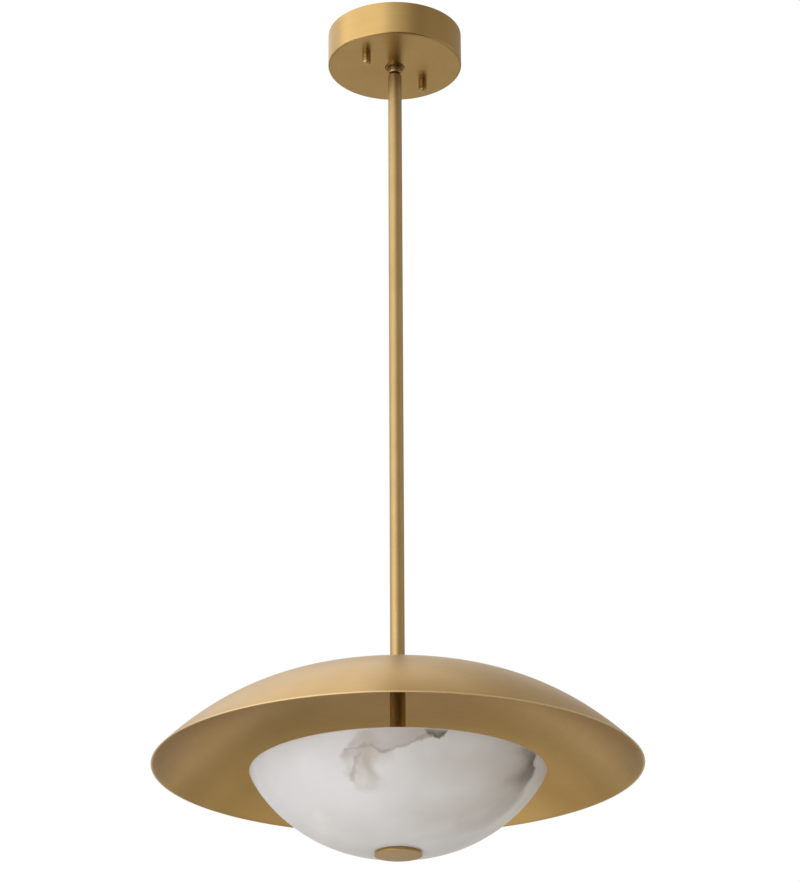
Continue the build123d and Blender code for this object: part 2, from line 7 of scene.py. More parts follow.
import logging
from collections.abc import Sequence
from dataclasses import dataclass
from enum import Enum
from functools import cache
from math import acos, asin, atan, cos, pi, radians, sin
from typing import Any, ClassVar

import bpy
from mathutils import Matrix, Vector


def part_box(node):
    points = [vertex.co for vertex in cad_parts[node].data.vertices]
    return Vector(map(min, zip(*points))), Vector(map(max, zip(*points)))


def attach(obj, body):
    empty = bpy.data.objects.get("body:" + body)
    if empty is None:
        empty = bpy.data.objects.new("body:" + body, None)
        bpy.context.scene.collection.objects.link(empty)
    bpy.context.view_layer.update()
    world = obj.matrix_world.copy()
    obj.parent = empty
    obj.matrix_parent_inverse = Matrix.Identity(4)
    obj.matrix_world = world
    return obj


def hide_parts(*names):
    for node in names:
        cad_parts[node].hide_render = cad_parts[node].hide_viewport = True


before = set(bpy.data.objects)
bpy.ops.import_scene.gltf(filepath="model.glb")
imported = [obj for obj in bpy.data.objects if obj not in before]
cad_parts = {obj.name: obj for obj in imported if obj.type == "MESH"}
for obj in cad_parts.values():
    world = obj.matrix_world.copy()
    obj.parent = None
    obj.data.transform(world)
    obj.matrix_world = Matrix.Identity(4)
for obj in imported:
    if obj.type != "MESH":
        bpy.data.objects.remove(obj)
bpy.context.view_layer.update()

MM = 0.001
PHOTO_HEIGHT_PX = 882

log = logging.getLogger("pendant")

Point = tuple[float, float]
Triple = tuple[float, float, float]
Socket = bpy.types.NodeSocket
Inputs = dict[str | int, Any] | tuple[Any, ...]
Outputs = bpy.types.NodeOutputs
Tree = bpy.types.NodeTree
Piece = bpy.types.Object

# Kinds of node that come up often, and the numbered sockets of the nodes whose sockets share names
MATH = "ShaderNodeMath"
VECTOR = "ShaderNodeVectorMath"
NOISE = "ShaderNodeTexNoise"
MAP = "ShaderNodeMapRange"
MIX = "ShaderNodeMix"
CURVE = "ShaderNodeFloatCurve"
SPLIT = "ShaderNodeSeparateXYZ"
JOIN = "ShaderNodeCombineXYZ"
MIX_FACTOR, MIX_A, MIX_B = 0, 6, 7
MIX_COLOUR = 2
NOISE_VALUE, NOISE_COLOUR = 0, 1

# The sRGB curve: a straight foot up to its knee, and a power from there on
SRGB_KNEE, SRGB_FOOT, SRGB_LIFT, SRGB_POWER = 0.04045, 12.92, 0.055, 2.4
FULL_BYTE = 255

# What lays a vector level
LEVEL = (1.0, 1.0, 0.0)


def linear(colour: str) -> tuple[float, ...]:
    """Turns an sRGB hex colour into linear light.

    Args:
        colour: The colour as "#RRGGBB".

    Returns:
        Red, green, blue and an opacity of 1.
    """
    light = []
    for byte in bytes.fromhex(colour[1:]):
        part = byte / FULL_BYTE
        curved = ((part + SRGB_LIFT) / (1 + SRGB_LIFT)) ** SRGB_POWER
        light.append(part / SRGB_FOOT if part <= SRGB_KNEE else curved)
    return *light, 1.0


def add_node(tree: Tree, kind: str, inputs: Inputs = (), **settings: Any) -> Outputs:
    """Adds a node with its settings, values and links.

    Args:
        tree: The tree that gets the node.
        kind: The node's type.
        inputs: What its inputs get, in order or by name: a socket is linked, and all else is set as a value.
        **settings: The node's own properties.

    Returns:
        The new node's outputs.
    """
    node = tree.nodes.new(kind)
    for name, value in settings.items():
        setattr(node, name, value)
    for key, value in inputs.items() if isinstance(inputs, dict) else enumerate(inputs):
        if isinstance(value, Socket):
            tree.links.new(value, node.inputs[key])
        else:
            node.inputs[key].default_value = value
    return node.outputs


def draw_curve(curve: Socket, points: Sequence[Point]) -> Socket:
    """Draws a line on a float curve node.

    Args:
        curve: The node's output.
        points: The line's points, each from 0 to 1 both ways, from left to right.

    Returns:
        The same output.
    """
    mapping = curve.node.mapping
    line = mapping.curves[0]
    while len(line.points) < len(points):
        line.points.new(1.0, 1.0)
    for mark, point in zip(line.points, points):
        mark.location = point
    mapping.update()
    return curve


def layered(tree: Tree, base: Any, *layers: tuple[Socket, Any]) -> Socket:
    """Lays colours over each other.

    Args:
        tree: The tree that mixes them.
        base: The lowest colour, as a hex colour or a socket.
        *layers: How much of each colour covers what is under it, from 0 to 1, and that colour.

    Returns:
        The mixed colour.
    """
    colour = base
    for amount, cover in layers:
        tones = [linear(tone) if isinstance(tone, str) else tone for tone in (colour, cover)]
        inputs = dict(zip((MIX_FACTOR, MIX_A, MIX_B), (amount, *tones)))
        colour = add_node(tree, MIX, inputs, data_type="RGBA")[MIX_COLOUR]
    return colour


def faded(tree: Tree, amount: Any, *fades: tuple[Socket, float, float]) -> Socket:
    """Fades an amount softly, once for each value that limits it.

    Args:
        tree: The tree that works it out.
        amount: The full amount.
        *fades: A value, where that leaves nothing of the amount, and where it leaves all.

    Returns:
        What is left.
    """
    for value, none, full in fades:
        limits = {"Value": value, "From Min": none, "From Max": full}
        edge = add_node(tree, MAP, limits, interpolation_type="SMOOTHSTEP")[0]
        amount = add_node(tree, MATH, (amount, edge), operation="MULTIPLY")[0]
    return amount


def add_object(name: str, data: bpy.types.ID) -> bpy.types.Object:
    """Adds an object to the scene.

    Args:
        name: Its name.
        data: Its mesh, lamp or camera.

    Returns:
        The object, at the origin.
    """
    item = bpy.data.objects.new(name, data)
    bpy.context.scene.collection.objects.link(item)
    return item


class Axis(Enum):
    """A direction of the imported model's frame, as the number of its coordinate."""

    X = 0
    Y = 1
    Z = 2


class Side(Enum):
    """A side of the bowl, as the coordinate that says how far it is that way, and its sign."""

    FRONT = (Axis.Y, -1.0)
    BACK = (Axis.Y, 1.0)
    LEFT = (Axis.X, -1.0)
    RIGHT = (Axis.X, 1.0)


class Grain(Enum):
    """Which way a metal's brushing runs."""

    ROUND = "round the axis"
    ALONG = "along the axis"


class Edge(Enum):
    """What a vein's edge is like."""

    SMOOTH = "a smooth stain"
    CRUMBLED = "crumbled and patchy"


@dataclass(frozen=True)
class Finish:
    """A surface finish, which makes its own material.

    Attributes:
        name: The finish's plain name.
    """

    name: str

    @cache
    def material(self) -> bpy.types.Material:
        """Makes the finish's material, once.

        Returns:
            The material, with its shader and its pattern.
        """
        material = bpy.data.materials.new(self.name)
        material.use_nodes = True
        tree = material.node_tree
        tree.nodes.clear()
        place = add_node(tree, "ShaderNodeTexCoord")["Object"]
        place_mm = add_node(tree, VECTOR, {0: place, "Scale": 1 / MM}, operation="SCALE")[0]
        shader = add_node(tree, "ShaderNodeBsdfPrincipled", self.look(tree, place_mm))
        add_node(tree, "ShaderNodeOutputMaterial", {"Surface": shader["BSDF"]})
        return material

    def look(self, tree: Tree, place: Socket) -> dict[str, Any]:
        """Adds the finish's pattern.

        Args:
            tree: The material's tree.
            place: Where the surface is, in millimetres.

        Returns:
            What each of the shader's inputs gets.
        """
        raise NotImplementedError


@dataclass(frozen=True)
class BrushedMetal(Finish):
    """Bare or plated metal with a fine brushed or turned grain.

    The grain spreads each reflection into a soft sheen, and handling leaves faint duller clouds.

    Attributes:
        bright: The metal where it is cleanest.
        dull: The metal where it is most aged.
        roughness: How soft its reflections are.
        grain: Which way its brushing runs.
        line_mm: How far one brushed line is from the next.
        cloud_mm: How far one dull cloud is from the next.
    """

    bright: str
    dull: str
    roughness: float
    grain: Grain
    # Real lines are about 0.05 mm apart, so this is drawn coarser, as far as it needs to show.
    line_mm: float
    cloud_mm: float
    streak_mm: float = 60.0
    line_height_mm: float = 0.004
    line_strength: float = 0.4
    roughness_spread: float = 0.05

    def look(self, tree: Tree, place: Socket) -> dict[str, Any]:
        """Adds the metal's grain and clouds.

        Args:
            tree: The material's tree.
            place: Where the surface is, in millimetres.

        Returns:
            What each of the shader's inputs gets.
        """
        clouds = {"Vector": place, "Scale": 1 / self.cloud_mm, "Detail": 3.0}
        cloud = add_node(tree, NOISE, clouds)[NOISE_VALUE]
        lines = self.lines(tree, place)
        both = add_node(tree, MATH, (cloud, lines), operation="ADD")[0]
        age = add_node(tree, MATH, (both, 0.5), operation="MULTIPLY")[0]
        low, high = self.roughness - self.roughness_spread, self.roughness + self.roughness_spread
        relief = {"Height": lines, "Strength": self.line_strength, "Distance": self.line_height_mm * MM}
        return {
            "Metallic": 1.0,
            "Base Color": self.tone(tree, place, age),
            "Roughness": add_node(tree, MAP, {"Value": age, "To Min": low, "To Max": high})[0],
            "Normal": add_node(tree, "ShaderNodeBump", relief)[0],
        }

    def tone(self, tree: Tree, place: Socket, age: Socket) -> Socket:
        """Mixes the metal's colour at a place, by how aged it is there, from 0 to 1."""
        return layered(tree, self.bright, (age, self.dull))

    def radius(self, tree: Tree, place: Socket) -> Socket:
        """Works out how far a place is from the light's axis."""
        flat = add_node(tree, VECTOR, (place, LEVEL), operation="MULTIPLY")[0]
        return add_node(tree, VECTOR, (flat,), operation="LENGTH")["Value"]

    def lines(self, tree: Tree, place: Socket) -> Socket:
        """Draws the brushed lines.

        Args:
            tree: The material's tree.
            place: Where the surface is, in millimetres.

        Returns:
            The lines, from 0 to 1.
        """
        if self.grain is Grain.ALONG:
            squash = (1 / self.line_mm, 1 / self.line_mm, 1 / self.streak_mm)
            across = add_node(tree, VECTOR, (place, squash), operation="MULTIPLY")[0]
            return add_node(tree, NOISE, {"Vector": across, "Scale": 1.0, "Detail": 1.0})[NOISE_VALUE]
        height = add_node(tree, SPLIT, (place,))[Axis.Z.value]
        ring = add_node(tree, JOIN, (self.radius(tree, place), height))[0]
        streaks = {"Vector": place, "Scale": 1 / self.streak_mm, "Detail": 0.0}
        drift = add_node(tree, NOISE, streaks)[NOISE_VALUE]
        rings = {"Vector": ring, "W": drift, "Scale": 1 / self.line_mm, "Detail": 1.0}
        return add_node(tree, NOISE, rings, noise_dimensions="4D")[NOISE_VALUE]


@dataclass(frozen=True, kw_only=True)
class RimmedMetal(BrushedMetal):
    """Brushed sheet metal with a trimmed rim painted paler than the rest: a painted highlight along the rim,
    and some wear.

    Attributes:
        rim_highlight_and_wear: The metal along the rim, paler: painted highlight and wear.
        rim_highlight_from_mm: The radius from which the rim is painted paler.
        rim_highlight_fade_mm: How far the paler band takes to come in.
    """

    rim_highlight_and_wear: str
    rim_highlight_from_mm: float
    rim_highlight_fade_mm: float = 0.6

    def tone(self, tree: Tree, place: Socket, age: Socket) -> Socket:
        """Mixes the metal's colour at a place, painted paler at the rim as a highlight, with wear.

        Args:
            tree: The material's tree.
            place: The place, in millimetres.
            age: How aged the metal is there, from 0 to 1.

        Returns:
            The colour.
        """
        # The paler band along the rim is a painted highlight, with some wear.
        limits = {"From Min": self.rim_highlight_from_mm, "From Max": self.rim_highlight_from_mm + self.rim_highlight_fade_mm}
        rim = add_node(tree, MAP, {"Value": self.radius(tree, place), **limits})[0]
        return layered(tree, super().tone(tree, place, age), (rim, self.rim_highlight_and_wear))


@dataclass(frozen=True)
class PlainSolid(Finish):
    """A moulded, fired or cut material with one colour, a faint mottle and a fine skin.

    Attributes:
        colour: Its colour.
        mottle: The colour of its mottle.
        roughness: How soft its reflections are.
        grain_mm: How far one grain of its skin is from the next.
        grain_height_mm: How high that grain stands.
        ior: Its index of refraction.
        transmission: How much light goes through it.
    """

    colour: str
    mottle: str
    roughness: float
    grain_mm: float
    grain_height_mm: float
    ior: float = 1.5
    transmission: float = 0.0
    grain_strength: float = 0.5
    roughness_spread: float = 0.05

    def look(self, tree: Tree, place: Socket) -> dict[str, Any]:
        """Adds the material's mottle and skin.

        Args:
            tree: The material's tree.
            place: Where the surface is, in millimetres.

        Returns:
            What each of the shader's inputs gets.
        """
        grains = {"Vector": place, "Scale": 1 / self.grain_mm, "Detail": 2.0}
        grain = add_node(tree, NOISE, grains)[NOISE_VALUE]
        low, high = self.roughness - self.roughness_spread, self.roughness + self.roughness_spread
        relief = {"Height": grain, "Strength": self.grain_strength, "Distance": self.grain_height_mm * MM}
        return {
            "IOR": self.ior,
            "Transmission Weight": self.transmission,
            "Base Color": layered(tree, self.colour, (grain, self.mottle)),
            "Roughness": add_node(tree, MAP, {"Value": grain, "To Min": low, "To Max": high})[0],
            "Normal": add_node(tree, "ShaderNodeBump", relief)[0],
        }


@dataclass(frozen=True)
class PaintedFloor(Finish):
    """Matt floor paint: pale and plain to the eye, and unevenly lit in what metal shows of it.

    It doesn't show from under the floor, so that the light can be seen from below.

    Attributes:
        colour: Its colour in the light that it throws back.
        seen: Its colour to the eye.
        mirrored: Its colour in a reflection, where it is brightest.
        reach: How far from the axis the two lines below go each way.
        along: How bright its reflection is from the front to the back, as points from 0 to 1.
        across: How bright its reflection is from the left to the right, as points from 0 to 1.
    """

    colour: str
    seen: str
    mirrored: str
    reach: float
    along: tuple[Point, ...]
    across: tuple[Point, ...]
    roughness: float = 0.9
    gloss: float = 0.1

    def look(self, tree: Tree, place: Socket) -> dict[str, Any]:
        """Adds the paint's colour, as the eye, a reflection and other light have it.

        Args:
            tree: The material's tree.
            place: Where the surface is, in millimetres.

        Returns:
            What each of the shader's inputs gets.
        """
        parts = add_node(tree, SPLIT, (place,))
        limit = self.reach / MM
        level: Any = 1.0
        for axis, line in ((Axis.Y, self.along), (Axis.X, self.across)):
            limits = {"Value": parts[axis.value], "From Min": -limit, "From Max": limit}
            share = add_node(tree, MAP, limits)[0]
            tone = draw_curve(add_node(tree, CURVE, {"Value": share})[0], line)
            level = add_node(tree, MATH, (tone, level), operation="MULTIPLY")[0]
        mirrored = linear(self.mirrored)[:3]
        lit = add_node(tree, VECTOR, {0: mirrored, "Scale": level}, operation="SCALE")[0]
        rays = add_node(tree, "ShaderNodeLightPath")
        rays_see = (rays["Is Camera Ray"], self.seen), (rays["Is Glossy Ray"], lit)
        under = add_node(tree, "ShaderNodeNewGeometry")["Backfacing"]
        return {
            "Roughness": self.roughness,
            "Specular IOR Level": self.gloss,
            "Base Color": layered(tree, self.colour, *rays_see),
            "Alpha": add_node(tree, MATH, (1.0, under), operation="SUBTRACT")[0],
        }


@dataclass(frozen=True)
class Vein:
    """One vein of the stone: a sheet that follows a given line, on one side of the bowl.

    Attributes:
        colour: The stone's colour where the vein is strongest.
        side: The side of the bowl that it shows on.
        along: The coordinate that the line runs along.
        across: The coordinate that the line wanders in.
        edge: What its edge is like.
        before_mm: How far the vein fades on the line's low side.
        after_mm: How far it fades on the line's high side.
        path: The line's points in millimetres from the rim's centre: along, across and strength.
        side_fade_mm: How far it takes to fade out as it goes round to the other side of the bowl.
    """

    colour: str
    side: Side
    along: Axis
    across: Axis
    edge: Edge
    before_mm: float
    after_mm: float
    path: tuple[Triple, ...]
    side_fade_mm: float = 12.0

    def mask(self, tree: Tree, place: Outputs) -> Socket:
        """Draws the vein.

        Args:
            tree: The material's tree.
            place: Where the surface is, in millimetres from the rim's centre, by coordinate.

        Returns:
            How much of the vein there is, from 0 to 1.
        """
        starts, levels, strengths = zip(*self.path)
        low, high = min(starts), max(starts)
        near, far = min(levels), max(levels)
        shares = [(start - low) / (high - low) for start in starts]
        line_points = sorted(zip(shares, [(level - near) / (far - near) for level in levels]))
        strength_points = sorted(zip(shares, strengths))

        limits = {"Value": place[self.along.value], "From Min": low, "From Max": high}
        share = add_node(tree, MAP, limits)[0]
        line = draw_curve(add_node(tree, CURVE, {"Value": share})[0], line_points)
        level = add_node(tree, MAP, {"Value": line, "To Min": near, "To Max": far})[0]
        offset = add_node(tree, MATH, (place[self.across.value], level), operation="SUBTRACT")[0]
        axis, sign = self.side.value
        turned = add_node(tree, MATH, (place[axis.value], sign), operation="MULTIPLY")[0]
        amount = draw_curve(add_node(tree, CURVE, {"Value": share})[0], strength_points)
        rise = (offset, -self.before_mm, 0.0)
        fall = (offset, self.after_mm, 0.0)
        facing = (turned, -self.side_fade_mm, self.side_fade_mm)
        return faded(tree, amount, rise, fall, facing)


@dataclass(frozen=True)
class PolishedAlabaster(Finish):
    """Alabaster, turned and satin polished: cloudy white stone that light sinks into, with grey-brown veins.

    Attributes:
        light: The stone's lightest white.
        grey: The stone's greyest white.
        rim_level_mm: The level of the bowl's rim.
        veins: The veins, from the faintest to the strongest.
    """

    light: str
    grey: str
    rim_level_mm: float
    veins: tuple[Vein, ...]
    # Clouds in the white, and where in their noise they are all light and all grey
    cloud_mm: float = 70.0
    cloud_limits: Point = (0.3, 0.7)
    # How far apart a vein's bends and its edge's crumbs are, and how far each goes
    wander_mm: float = 22.0
    wander_reach_mm: float = 9.0
    crumble_mm: float = 5.0
    crumble_reach_mm: float = 1.9
    # Patches of a crumbled vein: how far apart they are, where in their noise it is faintest and strongest,
    # and how much the faintest leaves of it
    patch_mm: float = 14.0
    patch_limits: Point = (0.3, 0.65)
    patch_least: float = 0.45
    # The polish, and the light that sinks in: red goes deepest
    roughness: float = 0.34
    roughness_spread: float = 0.06
    ior: float = 1.52
    glow: float = 0.25
    glow_depth_mm: float = 6.0
    glow_shares: Triple = (1.0, 0.9, 0.8)
    # Light that gets through the thin edge makes it warmer and paler.
    edge: str = "#FFF4E8"
    edge_mm: float = 1.8

    def look(self, tree: Tree, place: Socket) -> dict[str, Any]:
        """Adds the stone's clouds, veins, polish and glow.

        Args:
            tree: The material's tree.
            place: Where the surface is, in millimetres.

        Returns:
            What each of the shader's inputs gets.
        """
        to_rim = {"Vector": place, "Location": (0, 0, -self.rim_level_mm)}
        centred = add_node(tree, "ShaderNodeMapping", to_rim)[0]
        wandered = self.shifted(tree, centred, self.wander_mm, self.wander_reach_mm)
        crumbled = self.shifted(tree, wandered, self.crumble_mm, self.crumble_reach_mm)
        places = {
            Edge.SMOOTH: add_node(tree, SPLIT, (wandered,)),
            Edge.CRUMBLED: add_node(tree, SPLIT, (crumbled,)),
        }

        clouds = {"Vector": wandered, "Scale": 1 / self.cloud_mm, "Detail": 4.0}
        cloud = add_node(tree, NOISE, clouds)[NOISE_VALUE]
        light, grey = self.cloud_limits
        spread = add_node(tree, MAP, {"Value": cloud, "From Min": light, "From Max": grey})[0]
        patches = {"Vector": crumbled, "Scale": 1 / self.patch_mm, "Detail": 4.0}
        patch = add_node(tree, NOISE, patches)[NOISE_VALUE]
        faint, strong = self.patch_limits
        limits = {"Value": patch, "From Min": faint, "From Max": strong, "To Min": self.patch_least}
        uneven = add_node(tree, MAP, limits)[0]
        level = add_node(tree, SPLIT, (centred,))[Axis.Z.value]
        near_rim = add_node(tree, MAP, {"Value": level, "From Min": -self.edge_mm, "From Max": 0.0})[0]

        stains = []
        for vein in self.veins:
            amount = vein.mask(tree, places[vein.edge])
            if vein.edge is Edge.CRUMBLED:
                amount = add_node(tree, MATH, (amount, uneven), operation="MULTIPLY")[0]
            stains.append((amount, vein.colour))
        low, high = self.roughness - self.roughness_spread, self.roughness + self.roughness_spread
        return {
            "IOR": self.ior,
            "Subsurface Weight": self.glow,
            "Subsurface Radius": self.glow_shares,
            "Subsurface Scale": self.glow_depth_mm * MM,
            "Base Color": layered(tree, self.light, (spread, self.grey), *stains, (near_rim, self.edge)),
            "Roughness": add_node(tree, MAP, {"Value": cloud, "To Min": low, "To Max": high})[0],
        }

    def shifted(self, tree: Tree, place: Socket, size_mm: float, reach_mm: float) -> Socket:
        """Shifts a place at random, so that a straight line on it wanders.

        Args:
            tree: The material's tree.
            place: A place, in millimetres.
            size_mm: How far one bend is from the next.
            reach_mm: How far a bend goes.

        Returns:
            The shifted place.
        """
        noise = add_node(tree, NOISE, {"Vector": place, "Scale": 1 / size_mm, "Detail": 3.0})[NOISE_COLOUR]
        centred = add_node(tree, VECTOR, (noise, (0.5, 0.5, 0.5)), operation="SUBTRACT")[0]
        shift = add_node(tree, VECTOR, {0: centred, "Scale": 2 * reach_mm}, operation="SCALE")[0]
        return add_node(tree, VECTOR, (place, shift), operation="ADD")[0]


# Each metal's numbers are its roughness, and how far apart its brushed lines and its dull clouds are.
# Satin brass: brushed, then left to age a little, so it is a soft warm gold with no mirror in it
SATIN_BRASS = BrushedMetal("satin_brass_spun", "#C4A56E", "#AF8C53", 0.32, Grain.ROUND, 0.5, 38.0)
DRAWN_BRASS = BrushedMetal("satin_brass_drawn", "#BFA678", "#AC8E5B", 0.46, Grain.ALONG, 0.4, 30.0)
# The same sheet on the shade, with a painted highlight and wear along its trimmed rim
SHADE_BRASS = RimmedMetal(
    "satin_brass_shade", "#C4A56E", "#AF8C53", 0.32, Grain.ROUND, 0.5, 38.0,
    rim_highlight_and_wear="#D8BC88", rim_highlight_from_mm=213.6,
)
# Paler brass for small turned pieces: a painted highlight, lighter than the same brass elsewhere
HIGHLIGHT_BRASS = BrushedMetal("painted_highlight_brass", "#CDB07B", "#BC9A63", 0.42, Grain.ROUND, 0.3, 12.0)
# Darker brass for the swivel's ball: painted shade where it sits in its seat under the canopy
SHADED_BALL_BRASS = BrushedMetal("painted_shade_ball_brass", "#94794C", "#7D633A", 0.42, Grain.ROUND, 0.3, 8.0)
# Brass for the neck's thread, painted dark: painted shade in the narrow gap under the bead
SHADED_THREAD_BRASS = BrushedMetal("painted_shade_thread_brass", "#5C4728", "#45351C", 0.42, Grain.ROUND, 0.3, 8.0)
# Turned brass without the ageing, as electrical fittings have it
TURNED_BRASS = BrushedMetal("turned_brass", "#D8BE7A", "#C4A45C", 0.24, Grain.ROUND, 0.3, 12.0)
# Zinc plating: cool, slightly cloudy and duller than steel
ZINC_STEEL = BrushedMetal("zinc_plated_steel", "#C3C6C9", "#A4A8AC", 0.36, Grain.ALONG, 0.35, 9.0)
# The green dye over zinc that marks an earth screw
GREEN_STEEL = BrushedMetal("green_dyed_zinc", "#3E9460", "#2C6E45", 0.38, Grain.ROUND, 0.3, 6.0)
# The numbers of these are the roughness, the skin's grain and its height, then the IOR and the transmission.
# Unglazed steatite: chalky white and faintly gritty
WHITE_CERAMIC = PlainSolid("unglazed_steatite", "#EAE6DC", "#DDD8CC", 0.6, 0.7, 0.02)
# Acid-frosted glass: milky, so the lamp inside doesn't show
FROSTED_GLASS = PlainSolid("frosted_glass", "#F6F4EE", "#ECEAE3", 0.5, 0.4, 0.01, 1.5, 0.85)
# Moulded nylon: off-white, with a soft sheen
WHITE_PLASTIC = PlainSolid("moulded_nylon", "#E4E2DA", "#D9D7CE", 0.45, 1.2, 0.01, 1.53)
# Cut sheet rubber: near black and dusty
BLACK_RUBBER = PlainSolid("cut_sheet_rubber", "#1B1A19", "#2A2927", 0.78, 0.8, 0.03, 1.52)

# The veins on the bowl's front follow the photograph. Two pale marks among them are painted light, as said
# at each.
VEINS = (
    Vein("#CCC5BE", Side.FRONT, Axis.X, Axis.Z, Edge.SMOOTH, 14.0, 18.0, (
        (-5, -64, 0.0), (14, -60, 0.2), (36, -58, 0.4), (61, -50, 0.45), (91, -36, 0.45), (104, -28, 0.2),
    )),
    Vein("#C6C1BB", Side.FRONT, Axis.X, Axis.Z, Edge.SMOOTH, 26.0, 26.0, (
        (-24, -30, 0.0), (8, -28, 0.25), (45, -26, 0.45), (80, -22, 0.55), (112, -16, 0.5),
    )),
    Vein("#BDB8B4", Side.RIGHT, Axis.Z, Axis.Y, Edge.SMOOTH, 50.0, 7.0, (
        (-62, -20, 0.0), (-50, -19, 0.45), (-38, -22.5, 0.65), (-29.4, -30, 0.8), (-23.7, -36, 0.9),
        (-14, -39, 1.0), (-8, -51, 0.8), (0, -57, 0.4),
    )),
    Vein("#968E87", Side.RIGHT, Axis.Z, Axis.Y, Edge.SMOOTH, 34.0, 3.0, (
        (-31, -33, 0.0), (-26, -36, 0.5), (-20, -38.5, 0.9), (-14, -40, 1.0), (-10, -46, 0.9),
        (-7, -52, 0.7), (-3, -56, 0.5), (0, -58, 0.2),
    )),
    Vein("#6E6A63", Side.RIGHT, Axis.Z, Axis.Y, Edge.CRUMBLED, 21.0, 2.0, (
        (-24, -37.5, 0.0), (-20, -38.7, 0.35), (-16, -40.5, 0.75), (-12, -43.5, 0.9), (-8, -51, 1.0),
        (-4, -55, 0.95), (0, -58, 0.6),
    )),
    # A paler band towards the right edge: the stone's own white, with painted light from the side.
    Vein("#F6F6F3", Side.RIGHT, Axis.Z, Axis.Y, Edge.SMOOTH, 16.0, 40.0, (
        (-62, -6, 0.0), (-54, -8, 0.4), (-44, -12, 0.6), (-32, -20, 0.65), (-22, -26, 0.5), (-12, -30, 0.0),
    )),
    Vein("#BDB6B1", Side.FRONT, Axis.Z, Axis.X, Edge.CRUMBLED, 5.0, 28.0, (
        (-46, -27, 0.0), (-38, -35, 0.5), (-30, -42.5, 0.65), (-23, -45.5, 0.7), (-16, -41.5, 0.8),
        (-10, -36.5, 0.8), (-6, -34, 0.6), (-1, -32.5, 0.1),
    )),
    Vein("#B7B0A9", Side.FRONT, Axis.Z, Axis.X, Edge.SMOOTH, 10.0, 12.0, (
        (-43, -19, 0.0), (-36, -22, 0.5), (-29, -26, 0.75), (-22, -27, 0.8), (-16, -26, 0.7),
        (-10, -24, 0.0),
    )),
    Vein("#A0968F", Side.FRONT, Axis.Z, Axis.X, Edge.CRUMBLED, 3.0, 3.5, (
        (-39, -35.5, 0.0), (-32, -37.5, 0.5), (-24, -35, 0.65), (-17, -32.5, 0.7), (-13, -31.5, 0.35),
        (-10, -30.5, 0.0),
    )),
    Vein("#C9C2BC", Side.FRONT, Axis.X, Axis.Z, Edge.SMOOTH, 9.0, 1.0, (
        (-42, -15, 0.0), (-32, -14.5, 0.6), (-20, -19, 0.7), (-10, -19.5, 0.6), (0, -16, 0.0),
    )),
    Vein("#BEB6B4", Side.FRONT, Axis.X, Axis.Z, Edge.SMOOTH, 1.8, 29.0, (
        (-42, -13, 0.0), (-34, -12.7, 0.25), (-25, -14.3, 0.5), (-18, -18.8, 0.65), (-13, -20, 0.7),
        (-7, -18.8, 0.7), (2, -16, 0.7), (12, -12.2, 0.7), (20, -9.2, 0.7), (27, -5, 0.5), (34, -3, 0.0),
    )),
    Vein("#A59D9B", Side.FRONT, Axis.X, Axis.Z, Edge.CRUMBLED, 1.4, 2.4, (
        (-42, -16, 0.0), (-34, -12.7, 0.65), (-25, -14.3, 0.7), (-18, -18.8, 0.8), (-13, -20, 0.9),
        (-7, -18.8, 0.8), (2, -16, 0.5), (12, -12.2, 0.5), (20, -9.2, 0.6), (27, -5, 0.8), (34, -4, 0.0),
    )),
    Vein("#959089", Side.FRONT, Axis.X, Axis.Z, Edge.SMOOTH, 1.6, 9.0, (
        (22, -2, 0.0), (27, -4, 0.9), (33, -5.2, 1.0), (38, -4, 0.9), (45, -1.5, 0.0),
    )),
    Vein("#63615C", Side.FRONT, Axis.X, Axis.Z, Edge.CRUMBLED, 1.2, 2.0, (
        (25, -3.5, 0.0), (28, -4.2, 0.9), (33, -5.4, 1.0), (36.5, -4.4, 0.9), (41, -2.5, 0.0),
    )),
    # A soft whitish spot on the left: a painted highlight.
    Vein("#F2F2F3", Side.LEFT, Axis.Z, Axis.X, Edge.SMOOTH, 9.0, 11.0, (
        (-65, -62, 0.0), (-59, -66, 0.4), (-55, -70, 0.4), (-50, -74, 0.0),
    )),
    # Back and left, made up in the same manner
    Vein("#CBC3BC", Side.BACK, Axis.X, Axis.Z, Edge.CRUMBLED, 12.0, 8.0, (
        (-95, -20, 0.0), (-60, -34, 0.7), (-20, -46, 0.8), (15, -40, 0.7), (48, -30, 0.6), (80, -12, 0.0),
    )),
    Vein("#9B9693", Side.BACK, Axis.X, Axis.Z, Edge.CRUMBLED, 0.9, 1.4, (
        (-80, -24, 0.0), (-52, -36, 0.6), (-18, -47, 0.8), (8, -43, 0.6), (30, -34, 0.8), (60, -22, 0.0),
    )),
    Vein("#AFA7A1", Side.BACK, Axis.Z, Axis.X, Edge.CRUMBLED, 3.0, 16.0, (
        (-40, 44, 0.0), (-30, 40, 0.7), (-20, 46, 0.8), (-10, 52, 0.9), (0, 50, 0.5),
    )),
    Vein("#BEB7B2", Side.LEFT, Axis.Z, Axis.Y, Edge.CRUMBLED, 18.0, 2.0, (
        (-58, 30, 0.0), (-44, 36, 0.6), (-30, 48, 0.8), (-15, 60, 0.9), (0, 66, 0.4),
    )),
)


